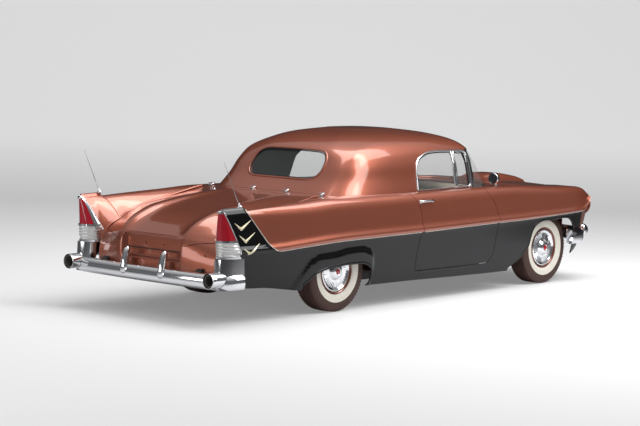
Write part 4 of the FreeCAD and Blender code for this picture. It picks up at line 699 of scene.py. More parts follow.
# The seam is narrow over the recess and as wide as the lid's other gaps beside it
panel_seam = [(x, z - (0.0015 if abs(x) < 0.36 else 0.005)) for x, z in lid_seam]
tail_reach = (rear_axle_y - 1.6, rear_axle_y - 0.094)
lid_room = prism("lid_room", list(lid_seam) + [(0.80, 1.1), (-0.80, 1.1)], *tail_reach, axis=1)
panel_room = prism("panel_room", panel_seam + [(0.80, 0.3), (-0.80, 0.3)], *tail_reach, axis=1)
deck_lid = shell("deck_lid_skin", deck_grid(inset=0.004), panel_sheet, copper_paint)
tail_panel = shell("tail_panel_skin", deck_grid(), panel_sheet, copper_paint)
carve(deck_lid, [lid_room], "INTERSECT")
carve(tail_panel, [panel_room], "INTERSECT")
plate_hole_radius = 0.007
plate_hole_out = 0.11
for x in (-plate_hole_out, plate_hole_out):
    bpy.ops.mesh.primitive_cylinder_add(vertices=20, radius=plate_hole_radius, depth=0.10,
                                        location=(x, rear_axle_y - 1.35, 0.61),
                                        rotation=(math.pi / 2, 0, 0))
    drill = bpy.context.object
    carve(tail_panel, [drill])
    drop(drill)
fit(smooth(deck_lid), "deck_lid", "copper_paint", "deck_lid")
fit(smooth(tail_panel), "body", "copper_paint", "tail_panel")
drop(lid_room, panel_room)

# The hood is a low crowned panel with a scoop in its middle that opens forward over the grille
hood_rows = np.array(((0.8745, 0.9965, 0.984), (0.940, 1.000, 0.975), (1.000, 0.996, 0.966),
                      (1.060, 0.981, 0.957), (1.110, 0.960, 0.947), (1.160, 0.934, 0.925),
                      (1.195, 0.905, 0.893), (1.213, 0.872, 0.862)))
hood_half = 0.6205
scoop_rows = np.array(((0.958, 0.0), (0.975, 0.018), (1.000, 0.043), (1.064, 0.060), (1.147, 0.062),
                       (1.192, 0.058)))
scoop_half = 0.165
# Over the scoop from its middle outward: place and share of its rise
scoop_round = np.array(((0.0, 1.0), (0.55, 0.97), (0.80, 0.80), (0.93, 0.42), (1.05, 0.10), (1.18, 0.0)))


def hood_height(share, x):
    """The hood's height at a station and a distance from the middle."""
    middle, edge = follow(hood_rows, share)
    return edge + (middle - edge) * (1 - (x / hood_half) ** 2)


rows = []
for share in np.linspace(hood_rows[0, 0], hood_rows[-1, 0], 44):
    rows.append([(x, along(share), hood_height(share, x)) for x in np.linspace(-hood_half, hood_half, 49)])
hood = smooth(shell("hood_skin", np.array(rows), 0.014, copper_paint))
fit(hood, "hood", "copper_paint", "hood")
rows = []
for share in np.linspace(scoop_rows[0, 0], scoop_rows[-1, 0], 34):
    rise = follow(scoop_rows, share)[0]
    across_scoop = [(x, follow(scoop_round, abs(x) / scoop_half)[0])
                    for x in np.linspace(-1.18, 1.18, 45) * scoop_half]
    rows.append([(x, along(share), hood_height(share, x) + rise * part + 0.0006)
                 for x, part in across_scoop])
scoop = smooth(shell("hood_scoop", np.array(rows), 0.004, copper_paint))
fit(scoop, "hood", "copper_paint")

# The cowl is the fixed strip between the hood and the windshield
rows = []
for share in np.linspace(0.690, 0.8725, 16):
    rows.append([(x, along(share), 0.9995 - 0.004 * max(share - 0.80, 0) / 0.07)
                 for x in np.linspace(-0.626, 0.626, 25)])
cowl = smooth(shell("cowl_skin", np.array(rows), 0.010, copper_paint))
fit(cowl, "body", "copper_paint", "cowl")

# The roof is a steel hardtop with rounded shoulders and a clear fold down each rear corner. It's drawn
# as outlines at eight heights, each from the middle of the rear to the middle of the front.
roof_rise = 0.540
roof_levels = (
    (-0.030, ((0, .020), (.40, .0185), (.62, .0245), (.735, .040), (.800, .070), (.838, .135),
              (.850, .29), (.828, .484), (.802, .636), (.787, .694), (.711, .739), (.609, .771),
              (.406, .816), (.203, .845), (0, .855))),
    (0.0, ((0, .020), (.40, .0185), (.62, .0245), (.735, .040), (.800, .070), (.838, .135),
           (.850, .29), (.828, .484), (.802, .636), (.787, .694), (.711, .739), (.609, .771),
           (.406, .816), (.203, .845), (0, .855))),
    (0.222, ((0, .060), (.38, .057), (.58, .060), (.695, .072), (.758, .100), (.795, .160),
             (.812, .29), (.802, .484), (.777, .636), (.756, .678), (.69, .72), (.589, .749),
             (.386, .791), (.203, .816), (0, .826))),
    (0.463, ((0, .09), (.37, .089), (.56, .091), (.665, .101), (.725, .125), (.762, .180),
             (.778, .29), (.772, .484), (.746, .632), (.721, .665), (.65, .70), (.548, .726),
             (.365, .762), (.203, .784), (0, .794))),
    (0.667, ((0, .113), (.345, .116), (.508, .124), (.629, .139), (.685, .161), (.711, .21),
             (.726, .307), (.726, .484), (.70, .623), (.675, .649), (.609, .678), (.508, .703),
             (.345, .733), (.183, .75), (0, .758))),
    (0.815, ((0, .152), (.305, .158), (.447, .171), (.548, .194), (.609, .226), (.64, .274),
             (.655, .355), (.65, .484), (.609, .587), (.579, .613), (.508, .642), (.426, .662),
             (.284, .687), (.152, .703), (0, .71))),
    (0.926, ((0, .213), (.254, .219), (.365, .236), (.437, .258), (.477, .29), (.497, .323),
             (.508, .371), (.497, .452), (.457, .516), (.426, .542), (.376, .565), (.305, .584),
             (.203, .60), (.102, .61), (0, .613))),
    (1.0, ((0, .307), (.152, .313), (.203, .323), (.234, .336), (.254, .349), (.264, .361),
           (.264, .387), (.259, .419), (.239, .452), (.223, .461), (.193, .471), (.152, .478),
           (.102, .482), (.051, .484), (0, .484))))
ring_steps = 5
level_steps = 6


def greenhouse_grid():
    """Rings of points over the roof, from its foot to its crown."""
    rings = []
    for rise, half in roof_levels:
        ring = [(x * half_width, along(y)) for x, y in half]
        ring += [(-x, y) for x, y in ring[-2:0:-1]]
        ring = rounded(ring, ring_steps, around=True)
        rings.append([(x, y, belt_height + rise * roof_rise) for x, y in ring])
    rings = np.array(rings)
    grid = rounded(rings[1:], level_steps)
    return np.concatenate([rings[:1], grid])


def greenhouse_solid(name, depth, material=None):
    """The closed form inside the roof's outer surface, at a depth under it."""
    grid = greenhouse_grid()
    around = np.roll(grid, -1, axis=1) - np.roll(grid, 1, axis=1)
    up = np.gradient(grid, axis=0)
    normals = np.cross(around, up)
    normals /= np.maximum(np.linalg.norm(normals, axis=2, keepdims=True), 1e-9)
    grid = grid - normals * depth
    rows, columns = grid.shape[:2]
    points = list(grid.reshape(-1, 3))
    faces = grid_faces(rows, columns, around=True)
    top = (rows - 1) * columns
    crown = len(points)
    points.append(grid[-1].mean(0) + np.array((0, 0, 0.0005 if depth else -0.0005)))
    faces += [(top + j, top + (j + 1) % columns, crown) for j in range(columns)]
    faces.append(tuple(range(columns))[::-1])
    return mesh_object(name, points, faces, material)


door_window = ((1.117, 0.90), (1.118, 0.99), (1.125, 1.054), (1.154, 1.22), (1.19, 1.27),
               (1.235, 1.301), (1.354, 1.338), (1.499, 1.350), (1.720, 1.347), (1.923, 1.341),
               (1.950, 1.29), (1.966, 1.246), (1.970, 1.128), (1.967, 0.90))
rear_window = ((0, 1.118), (0.25, 1.118), (0.35, 1.122), (0.405, 1.142), (0.436, 1.185),
               (0.440, 1.24), (0.424, 1.30), (0.385, 1.342), (0.32, 1.360), (0.2, 1.364), (0, 1.366))


def door_window_block(margin, low=0.35, high=1.05):
    return prism("door_window_block", grown(from_axle([tuple(p) for p in rounded(door_window, 3)]), margin),
                 low, high)


def rear_window_ring(margin=0.0):
    """The rear window's outline seen from behind, grown outward by a margin."""
    ring = list(rear_window) + [(-x, z) for x, z in rear_window[-2:0:-1]]
    return grown([tuple(p) for p in rounded(ring, 4, around=True)], margin)


def rear_window_block(margin):
    return prism("rear_window_block", rear_window_ring(margin), along(-0.06), along(0.22), axis=1)


header_height = 1.352
pillar_share = 0.632
roof_wall = 0.034
outside_x = 1.1


def block(name, low, high, material=None):
    """A plain block between two corners."""
    (x0, y0, z0), (x1, y1, z1) = low, high
    points = [(x, y, z) for z in (z0, z1) for x, y in ((x0, y0), (x1, y0), (x1, y1), (x0, y1))]
    faces = [(3, 2, 1, 0), (4, 5, 6, 7), (0, 1, 5, 4), (1, 2, 6, 5), (2, 3, 7, 6), (3, 0, 4, 7)]
    return mesh_object(name, points, faces, material)


roof_skin = greenhouse_solid("roof_skin", 0.0, copper_paint)
roof_form = BVHTree.FromObject(roof_skin, bpy.context.evaluated_depsgraph_get())
roof_inside = greenhouse_solid("roof_inside", roof_wall)
windshield_room = block("windshield_room", (-outside_x, along(pillar_share), 0.9),
                        (outside_x, along(1.0), header_height))
under_roof = block("under_roof", (-outside_x, along(-0.1), 0.9),
                   (outside_x, along(0.9), belt_height + 0.0005))
window_cut_right = door_window_block(0.016)
window_cut_left = opposite(window_cut_right, "window_cut_left")
rear_window_cut = rear_window_block(0.004)
carve(roof_skin, [roof_inside, under_roof, windshield_room, window_cut_right, window_cut_left,
                  rear_window_cut])
fit(smooth(roof_skin), "body", "copper_paint", "roof")


# Window glass is faintly green and lies a little inside the roof's surface. The door's pane leaves room
# for the bar of its vent.
def glass_of(name, depth, thickness, cutter):
    """A pane: the part of the roof's form between two depths that a cutter holds."""
    pane = greenhouse_solid(name, depth, glass)
    inside = greenhouse_solid("pane_inside", depth + thickness)
    carve(pane, [inside])
    carve(pane, [cutter], "INTERSECT")
    drop(inside)
    return smooth(pane)


glass = finish_of("window_glass", (0.30, 0.34, 0.33), 0.0, 0.0, Transmission_Weight=0.0, Alpha=0.08,
                  Specular_IOR_Level=0.6, Coat_Weight=0.0)
glass.surface_render_method = "BLENDED"
vent_place = 1.724
pane_room = door_window_block(-0.003, 0.5)
vent_bar_half = 0.007
vent_bar = block("vent_bar", (0.4, rear_axle_y + vent_place - vent_bar_half, 0.9),
                 (outside_x, rear_axle_y + vent_place + vent_bar_half, 1.4))
side_pane = glass_of("door_pane", 0.008, 0.005, pane_room)
carve(side_pane, [vent_bar])
fit_pair(side_pane, "door_pane_{side}", "door_{side}", "glass", "door_glass_{side}")
rear_pane_room = rear_window_block(-0.001)
rear_pane = glass_of("rear_pane", 0.010, 0.005, rear_pane_room)
fit(rear_pane, "body", "glass", "rear_window")
shield_room = block("shield_room", (-outside_x, along(pillar_share) + 0.020, belt_height + 0.014),
                    (outside_x, along(1.0), header_height - 0.010))
shield_pane = glass_of("shield_pane", 0.006, 0.006, shield_room)
fit(shield_pane, "body", "glass", "windshield")
drop(roof_inside, windshield_room, under_roof, window_cut_left, rear_window_cut, pane_room, vent_bar,
     rear_pane_room, shield_room, window_cut_right)

# Each fin ends in a raised cap, black outside and copper inside. Its rear edge lies in the slanting
# plane of the lamp, and a bead, painted pale as a highlight, runs down its front edge and on along the side.
cap_front_outer = np.array(((0.560, -0.770), (0.594, -0.800), (0.604, -0.850), (0.617, -0.893),
                            (0.640, -0.930), (0.671, -0.962), (0.765, -1.042),
                            (0.864, -1.124), (0.927, -1.173), (0.975, -1.214)))
cap_front_inner = np.array(((0.560, -1.00), (0.700, -1.075), (0.762, -1.104), (0.870, -1.150),
                            (0.940, -1.190), (0.975, -1.209)))
cap_side_rise = 0.005
cap_top_rise = 0.030


def lamp_plane(z):
    """The place of the lamp's rim at a height, forward from the rear axle."""
    heights = [edge[1] for edge in lamp_edge]
    if z > lamp_top[1]:
        return lamp_top[0] - (z - lamp_top[1]) * 0.4
    return float(np.interp(z, heights, [edge[0] for edge in lamp_edge]))


def whole_section(share):
    return np.concatenate([upper_line(share), lower_line(share)[1:]])


crest_column = 21
last_fin_column = 60
break_height = 0.563


def cap_point(column, run):
    """A point of the fin under the cap: a column of its section, and a run from rear to front."""
    z = 0.8
    for turn in range(4):
        rear = lamp_plane(z)
        table = cap_front_inner if column < crest_column else cap_front_outer
        front = float(np.interp(z, table[:, 0], table[:, 1]))
        y = rear + (front - rear) * run
        x, z = whole_section(y / wheelbase)[column]
    return np.array((x, rear_axle_y + y, z))


cap_runs = np.concatenate([np.linspace(0, 0.9, 14), (0.94, 0.97, 0.985, 1.0)])
cap_edge = np.interp(cap_runs, (0, 0.9, 0.97, 1.0), (1, 1, 0.75, 0.05))
last_column = max(column for column in range(crest_column, last_fin_column)
                  if cap_point(column, 0.0)[2] > break_height)
cap_base = np.array([[cap_point(column, run) for column in range(last_column + 1)] for run in cap_runs])
cap_normals = normals_of(cap_base)
crest_weight = np.exp(-((np.arange(last_column + 1) - crest_column) / 5.0) ** 2)
cap_grid = cap_base + cap_normals * (cap_side_rise * cap_edge[:, None])[..., None]
cap_grid[..., 2] += cap_edge[:, None] * crest_weight * cap_top_rise
cap_inner = cap_base - cap_normals * 0.002
fin_cap_outer = shell("fin_cap_outer", cap_grid[:, crest_column:], 0.004, black_paint,
                      cap_inner[:, crest_column:])
fin_cap_inner = shell("fin_cap_inner", cap_grid[:, :crest_column + 1], 0.004, copper_paint,
                      cap_inner[:, :crest_column + 1])
fit_pair(smooth(fin_cap_outer), "fin_cap_outer_{side}", "body", "black_paint")
fit_pair(smooth(fin_cap_inner), "fin_cap_inner_{side}", "body", "copper_paint")


# A bead follows a path of points with the way it faces at each. One tree of geometry nodes draws all
# of them, and the first is the bead between the two colours, painted pale as a highlight.
def nodes_tree(name, inputs):
    """A tree of geometry nodes with its inputs, a function that adds a node and one that ends it."""
    tree = bpy.data.node_groups.new(name, "GeometryNodeTree")
    for label, kind, value in inputs:
        socket = tree.interface.new_socket(label, in_out="INPUT", socket_type=kind)
        if value is not None:
            socket.default_value = value
    tree.interface.new_socket("Shape", in_out="OUTPUT", socket_type="NodeSocketGeometry")
    start = tree.nodes.new("NodeGroupInput")
    end = tree.nodes.new("NodeGroupOutput")

    def add(kind, settings=None, sockets=None):
        node = tree.nodes.new(kind)
        for key, value in (settings or {}).items():
            setattr(node, key, value)
        for key, value in (sockets or {}).items():
            if isinstance(value, bpy.types.NodeSocket):
                tree.links.new(value, node.inputs[key])
            else:
                node.inputs[key].default_value = value
        return node

    def close(socket):
        tree.links.new(socket, end.inputs[0])

    return tree, start.outputs, add, close


bead_tree, given, add_node, close_tree = nodes_tree("bead_on_a_path", [
    ("Path", "NodeSocketGeometry", None), ("Width", "NodeSocketFloat", 0.01),
    ("Height", "NodeSocketFloat", 0.01), ("Finish", "NodeSocketMaterial", None)])
curve = add_node("GeometryNodeMeshToCurve", {}, {0: given["Path"]}).outputs[0]
facing = add_node("GeometryNodeInputNamedAttribute", {"data_type": "FLOAT_VECTOR"}, {"Name": "facing"})
turned = add_node("GeometryNodeSetCurveNormal", {"mode": "FREE"},
                  {"Curve": curve, "Normal": facing.outputs[0]}).outputs[0]
ring = add_node("GeometryNodeCurvePrimitiveCircle", {}, {"Resolution": 12, "Radius": 0.5}).outputs[0]
size = add_node("ShaderNodeCombineXYZ", {}, {"X": given["Height"], "Y": given["Width"], "Z": 1.0}).outputs[0]
oval = add_node("GeometryNodeTransform", {}, {"Geometry": ring, "Scale": size}).outputs[0]
swept = add_node("GeometryNodeCurveToMesh", {}, {"Curve": turned, "Profile Curve": oval,
                                                 "Fill Caps": True}).outputs[0]
round_off = add_node("GeometryNodeSetShadeSmooth", {}, {0: swept}).outputs[0]
solid = add_node("GeometryNodeRealizeInstances", {}, {0: round_off}).outputs[0]
painted = {"Geometry": solid, "Material": given["Finish"]}
close_tree(add_node("GeometryNodeSetMaterial", {}, painted).outputs[0])


def grow_by(tree, piece, **values):
    """Runs a node tree on a piece with its inputs set by name, and keeps the result as a mesh."""
    step = piece.modifiers.new("grow", "NODES")
    step.node_group = tree
    for item in tree.interface.items_tree:
        if item.in_out == "INPUT" and item.name.replace(" ", "_") in values:
            step[item.identifier] = values[item.name.replace(" ", "_")]
    return settle(piece)


def bead(name, path, facing, width, height, finish, closed=False):
    """A bead along a path. Facing is one way for all points, or one for each."""
    count = len(path)
    mesh = bpy.data.meshes.new(name)
    edges = [(k, k + 1) for k in range(count - 1)] + ([(count - 1, 0)] if closed else [])
    mesh.from_pydata([tuple(p) for p in path], edges, [])
    ways = np.broadcast_to(np.array(facing, float), (count, 3)).astype(np.float32)
    mesh.attributes.new("facing", "FLOAT_VECTOR", "POINT").data.foreach_set("vector", ways.ravel())
    piece = bpy.data.objects.new(name, mesh)
    bpy.context.scene.collection.objects.link(piece)
    return grow_by(bead_tree, piece, Width=width, Height=height, Finish=finish)


def chrome_pattern(tree):
    haze = tree.noise(tree.place(), 14.0, 3.0)
    return {"Roughness": 0.035 + haze * 0.045}


chrome = finish_of("chrome", (0.86, 0.87, 0.88), 1.0, 0.05, chrome_pattern)
# The break bead's pale colour is a painted highlight on a copper bead.
pale_bead = finish_of("pale_bead", (0.83, 0.72, 0.62), 0.7, 0.22)


def side_point(y, height_share, out=0.0):
    """A point on the side near the break line: height_share 0 at its foot, 1 at the top of the bead."""
    line = upper_line(share_at(y))
    x, z = line[-1 - int(round(height_share * 8))]
    return (x + out, y, z)


cap_bead = [tuple(cap_grid[-2, column] + cap_normals[-2, column] * 0.002)
            for column in range(crest_column + 1, last_column + 1) if cap_grid[-2, column][2] > 0.602]
level_bead = [side_point(y, 0.0, 0.001) for y in np.arange(cap_bead[-1][1] + 0.025, along(nose_foot), 0.03)]
bead_runs = {"quarter": cap_bead + [p for p in level_bead if p[1] < along(0.3372)],
             "door": [p for p in level_bead if along(0.3395) < p[1] < along(0.7030)],
             "fender": [p for p in level_bead if p[1] > along(0.7065)]}
for part, path in bead_runs.items():
    body = "door_{side}" if part == "door" else "body"
    fit_pair(bead(f"break_bead_{part}", path, (1, 0, 0), 0.009, 0.007, pale_bead),
             f"break_bead_{part}_{{side}}", body, "chrome")


# The tail lamps are tall cones of glass set in the fins' slanting ends: red above, clear and ribbed below
rim_line = cap_grid[0, 1:].copy()
smoothing_turns = 30
for turn in range(smoothing_turns):
    rim_line[1:-1] = (rim_line[:-2] + 2 * rim_line[1:-1] + rim_line[2:]) / 4
lens_foot, lens_split, lens_head = 0.572, 0.706, 0.938
apex_line = ((0.960, -1.4585), (0.558, -1.437))
lamp_middle = 0.850


def rim_at(z, inner):
    """How far out the lamp's rim lies at a height, on its inner or outer side."""
    top = int(np.argmax(rim_line[:, 2]))
    run = rim_line[:top + 1] if inner else rim_line[top:][::-1]
    return float(np.interp(z, run[:, 2], run[:, 0]))


def lamp_section(z, inset, steps, first=-1.0, last=1.0):
    """A level line over the lamp from the inner side of its rim to the outer."""
    low, high = rim_at(z, True) + inset, rim_at(z, False) - inset
    base = lamp_plane(z)
    apex = apex_line[0][1] + (apex_line[0][0] - z) / (apex_line[0][0] - apex_line[1][0]) * (
        apex_line[1][1] - apex_line[0][1])
    depth = max(base - apex, 0.002) - inset
    points = []
    for t in np.linspace(first, last, steps):
        x = lamp_middle + (high - lamp_middle) * t if t > 0 else lamp_middle + (lamp_middle - low) * t
        points.append((x, rear_axle_y + base - max(depth, 0.001) * (1 - abs(t) ** 2.1) ** (1 / 1.7), z))
    return points


def lamp_shell(name, low, high, inset, thickness, material, first=-1.0, last=1.0, rows=16, wave=0):
    """A sheet over part of the lamp's cone between two heights, ribbed when it has waves."""
    levels = np.linspace(low, high, rows)
    grid = [lamp_section(z, inset + (0.0025 * math.cos(wave * math.pi * 2 * k / (rows - 1)) if wave else 0),
                         31, first, last) for k, z in enumerate(levels)]
    grid = np.array(grid[::-1])
    return shell(name, grid, thickness, material)


def red_lens_painted_reflection_pattern(tree):
    """Deep red, with a painted reflection: pale grey where the lens is seen at a flat angle."""
    slant = tree.add("ShaderNodeLayerWeight", {}, {"Blend": 0.5}, 1)
    # Painted reflection: toward a flat angle the red is blended to pale grey, as the studio's light shows on
    # the glass.
    edge = tree.ramp(slant, [(0.0, (0.0, 0.0, 0.0)), (0.62, (0.0, 0.0, 0.0)), (0.80, (1.0, 1.0, 1.0))])
    cell = tree.noise(tree.place(), 90.0, 2.0)
    red = tree.blend(cell, (0.36, 0.004, 0.014, 1), (0.58, 0.012, 0.03, 1))
    return {"Base Color": tree.blend(edge, red, (0.50, 0.44, 0.48, 1)), "Roughness": 0.05 + cell * 0.04}


red_glass = finish_of("red_lens", (0.50, 0.008, 0.02), 0.0, 0.06, red_lens_painted_reflection_pattern, Coat_Weight=1.0,
                      Coat_Roughness=0.02)
clear_glass = finish_of("clear_lens", (0.74, 0.74, 0.72), 0.35, 0.12, Coat_Weight=1.0)
red_lens = lamp_shell("tail_lens", lens_split + 0.008, lens_head, 0.007, 0.004, red_glass, -0.97, 1.0)
fit_pair(smooth(red_lens), "tail_lens_{side}", "body", "red_lens", "tail_lamps")
clear_lens = lamp_shell("reversing_lens", lens_foot + 0.004, lens_split - 0.006, 0.007, 0.004, clear_glass,
                        -0.97, 1.0, rows=41, wave=5)
fit_pair(smooth(clear_lens, 60), "reversing_lens_{side}", "body", "clear_lens", "reversing_lamps")
cheek = lamp_shell("lamp_cheek", lens_foot, 0.958, 0.004, 0.003, chrome, -1.0, -0.86, rows=20)
lamp_back = lamp_shell("lamp_bowl", lens_foot, 0.952, 0.014, 0.002, chrome, rows=20)
for z, height in ((lens_split, 0.016), (lens_foot - 0.002, 0.018), (lens_head + 0.010, 0.024)):
    bar = lamp_shell("lamp_bar", z - height / 2, z + height / 2, 0.002, 0.008, chrome, rows=4)
    fit_pair(smooth(bar), f"lamp_bar_{int(z * 1000)}_{{side}}", "body", "chrome")
fit_pair(smooth(cheek), "lamp_cheek_{side}", "body", "chrome")
fit_pair(smooth(lamp_back), "lamp_bowl_{side}", "body", "chrome")
rim_path = [p + np.array((0, -0.002, 0)) for p in rim_line if p[2] > 0.56]
fit_pair(bead("lamp_rim", rim_path, (0, -1, 0), 0.011, 0.010, chrome), "lamp_rim_{side}", "body", "chrome",
         "tail_lamp_frames")


# The rear bumper is one heavy bar. At each end it rises in a corner piece under the lamp, which the
# exhaust leaves through, and two guards stand on it beside the plate.
def swept_bar(name, path, section, material):
    """A closed bar: a section of (outward, upward) pairs along a path in plan."""
    path = np.array(path, float)
    ways = np.gradient(path, axis=0)
    ways /= np.linalg.norm(ways, axis=1, keepdims=True)
    points = []
    for (x, y, z), (a, b, _) in zip(path, ways):
        points += [(x + b * out, y - a * out, z + up) for out, up in section]
    rows, columns = len(path), len(section)
    faces = grid_faces(rows, columns, around=True)
    faces += [tuple(range(columns))[::-1], tuple(range((rows - 1) * columns, rows * columns))]
    return turn_out(mesh_object(name, points, faces, material))


bar_face = ((-0.030, -0.050), (-0.006, -0.064), (0.022, -0.060), (0.042, -0.040), (0.049, 0.0),
            (0.042, 0.038), (0.022, 0.060), (-0.006, 0.066), (-0.034, 0.060))
bar_section = [tuple(p) for p in rounded(bar_face, 4)]
bar_height = 0.366
bar_plan = ((0, -1.457), (0.30, -1.456), (0.60, -1.449), (0.76, -1.440), (0.86, -1.420), (0.915, -1.375),
            (0.931, -1.320), (0.936, -1.262))
plan_line = rounded(bar_plan, 6)
plan_line = np.concatenate([plan_line[:0:-1] * (-1, 1), plan_line])
bar = swept_bar("rear_bar", [(x, rear_axle_y + y, bar_height) for x, y in plan_line], bar_section, chrome)
tip_place = Vector((0.8609, rear_axle_y - 1.572, 0.394))


def lathe(name, section, place, axis, material, steps=64, closed=True):
    """A ring turned from a section of (along, radius) pairs about an axis through a place."""
    axis = Vector(axis).normalized()
    first = axis.orthogonal().normalized()
    second = axis.cross(first)
    points = []
    for a, r in section:
        for k in range(steps):
            turn = 2 * math.pi * k / steps
            points.append(Vector(place) + axis * a + (first * math.cos(turn) + second * math.sin(turn)) * r)
    faces = grid_faces(len(section), steps, around=True)
    if closed:
        last = (len(section) - 1) * steps
        faces += [(last + k, last + (k + 1) % steps, (k + 1) % steps, k) for k in range(steps)]
    return turn_out(mesh_object(name, points, faces, material))


tip_room_right = lathe("tip_room", [(-0.3, 0.0005), (-0.3, 0.0665), (0.3, 0.0665), (0.3, 0.0005)], tip_place,
                       (0, 1, 0), None, 48)
tip_room_left = opposite(tip_room_right, "tip_room_left")
carve(bar, [tip_room_right, tip_room_left])
fit(smooth(bar), "body", "chrome", "rear_bumper")


def corner_section(z, steps=31):
    """The corner's level line at a height, a U that opens forward and widens further down."""
    low, high = 0.748, 0.934 + 0.010 * (0.56 - z) / 0.25
    base, apex = -1.268, -1.452 - 0.010 * (0.56 - z) / 0.25
    points = [(low - 0.004, rear_axle_y + base - 0.02, z)]
    for t in np.linspace(-1, 1, steps):
        x = lamp_middle + (high - lamp_middle) * t if t > 0 else lamp_middle + (lamp_middle - low) * t
        points.append((x, rear_axle_y + base - (base - apex) * (1 - abs(t) ** 2.3) ** (1 / 2.3), z))
    return points + [(high, rear_axle_y - 1.235, z)]


corner_piece = shell("bumper_corner", np.array([corner_section(z) for z in np.linspace(0.560, 0.310, 14)]),
                     0.005, chrome)
carve(corner_piece, [tip_room_right])
fit_pair(smooth(corner_piece), "bumper_corner_{side}", "body", "chrome")
guard_rows = ((0.345, 0.60, 0.50, 0.0), (0.365, 0.90, 0.90, 0.0), (0.41, 1.05, 1.0, 0.002),
              (0.46, 1.0, 0.98, 0.010), (0.51, 0.92, 0.92, 0.020), (0.545, 0.80, 0.82, 0.026),
              (0.562, 0.62, 0.64, 0.030), (0.572, 0.36, 0.38, 0.032), (0.5755, 0.10, 0.10, 0.033))
guard_place = (0.230, rear_axle_y - 1.484)
guard_half = (0.034, 0.042)
guard_sides = 24
guard_square = 0.8
levels = rounded(guard_rows, 4)
guard_points = []
for z, wide, deep, lean in levels:
    for k in range(guard_sides):
        turn = 2 * math.pi * k / guard_sides
        out, back = (math.copysign(abs(n) ** guard_square, n) for n in (math.cos(turn), math.sin(turn)))
        guard_points.append((guard_place[0] + guard_half[0] * wide * out,
                             guard_place[1] + lean + guard_half[1] * deep * back, z))
faces = grid_faces(len(levels), guard_sides, around=True)
faces += [tuple(range(guard_sides))[::-1],
          tuple(range((len(levels) - 1) * guard_sides, len(levels) * guard_sides))]
guard = turn_out(mesh_object("bumper_guard", guard_points, faces, chrome))
fit_pair(smooth(guard, 50), "bumper_guard_{side}", "body", "chrome")
tip_section = [(0.235, 0.052), (0.235, 0.064), (0.05, 0.0645), (0.006, 0.065), (0.001, 0.0635),
               (0.0, 0.061), (0.002, 0.0602), (0.05, 0.0602), (0.187, 0.060)]
exhaust_tip = lathe("exhaust_tip", tip_section, tip_place, (0, 1, 0), chrome)
# The near-black disc that closes the tip's bore is painted shade for the pipe's dark depth, with the dull
# grain of soot.
soot_and_painted_shade = finish_of("soot_and_painted_shade", (0.02, 0.018, 0.016), 0.0, 0.9,
                 lambda tree: {"Normal": tree.bump(tree.noise(tree.place(), 300.0), 0.001, 0.5)})
bare_tip = finish_of("sooty_steel", (0.30, 0.28, 0.25), 0.9, 0.35,
                     lambda tree: {"Roughness": 0.3 + tree.noise(tree.place(), 120.0) * 0.3})
tip_inside = lathe("exhaust_dark", [(0.186, 0.0005), (0.186, 0.0596), (0.188, 0.0596), (0.188, 0.0005)],
                   tip_place, (0, 1, 0), soot_and_painted_shade)
tip_ring = lathe("exhaust_ring", [(0.020, 0.044), (0.010, 0.047), (0.012, 0.051), (0.024, 0.052),
                                  (0.10, 0.052), (0.10, 0.044)], tip_place, (0, 1, 0), bare_tip, 48)
fit_pair(smooth(tip_ring), "exhaust_ring_{side}", "body", "steel")
fit_pair(smooth(exhaust_tip), "exhaust_tip_{side}", "body", "chrome")
fit_pair(smooth(tip_inside), "exhaust_dark_{side}", "body", "chassis_black")
drop(tip_room_right, tip_room_left)

# The tyres have broad cream sidewalls and a brown-black rubber. Each steel wheel shows a ring of paint
# round a domed hubcap with a red centre.
def rubber_pattern(tree):
    scuff = tree.noise(tree.place(), 60.0, 4.0)
    return {"Base Color": tree.blend(scuff, (0.050, 0.023, 0.017, 1), (0.085, 0.042, 0.032, 1)),
            "Roughness": 0.55 + scuff * 0.25, "Normal": tree.bump(scuff, 0.0006, 0.3)}


rubber = finish_of("tyre_rubber", (0.04, 0.027, 0.022), 0.0, 0.7, rubber_pattern)
whitewall = finish_of("whitewall", (0.80, 0.76, 0.66), 0.0, 0.5)
rim_paint = finish_of("rim_paint", (0.20, 0.045, 0.022), 0.4, 0.25, Coat_Weight=1.0)
hub_red = finish_of("hub_red", (0.45, 0.008, 0.012), 0.0, 0.15, Coat_Weight=1.0)
tyre_radius = 0.355
tyre_profile = ((0.070, 0.1968), (0.080, 0.200), (0.089, 0.212), (0.0965, 0.240), (0.0985, 0.267),
                (0.0995, 0.2705), (0.0998, 0.280), (0.0985, 0.305), (0.0935, 0.328), (0.0865, 0.343),
                (0.0800, 0.3505), (0.0745, 0.3525))
ribs = 7
rib_pitch = 0.0205
crown_fall = 0.0026
tread_half = 0.0701
# Across one rib, from groove to groove: distance from its middle and depth under its crown
rib_edges = ((0.0082, 0.006), (0.0078, 0.0), (-0.0078, 0.0), (-0.0082, 0.006))
tread = set()
for k in range(ribs):
    centre = (k - (ribs - 1) / 2) * rib_pitch
    crown = tyre_radius - crown_fall * (centre / (3 * rib_pitch)) ** 2
    tread.update((centre + out, crown - fall) for out, fall in (rib_edges if k else rib_edges[1:]))
tread = sorted(((a, b) for a, b in tread if abs(a) < tread_half), reverse=True)
half = [tuple(p) for p in rounded(tyre_profile, 3)]
ring = half + tread + [(-a, b) for a, b in half[::-1]]
lug_tree, given, add_node, close_tree = nodes_tree("lugs_round_a_wheel", [
    ("Lug", "NodeSocketGeometry", None), ("Count", "NodeSocketInt", 60),
    ("Finish", "NodeSocketMaterial", None)])
line = add_node("GeometryNodeMeshLine", {"mode": "OFFSET"}, {"Count": given["Count"], "Offset": (0, 0, 0)})
index = add_node("GeometryNodeInputIndex").outputs[0]
part = add_node("ShaderNodeMath", {"operation": "DIVIDE"}, {0: index, 1: given["Count"]}).outputs[0]
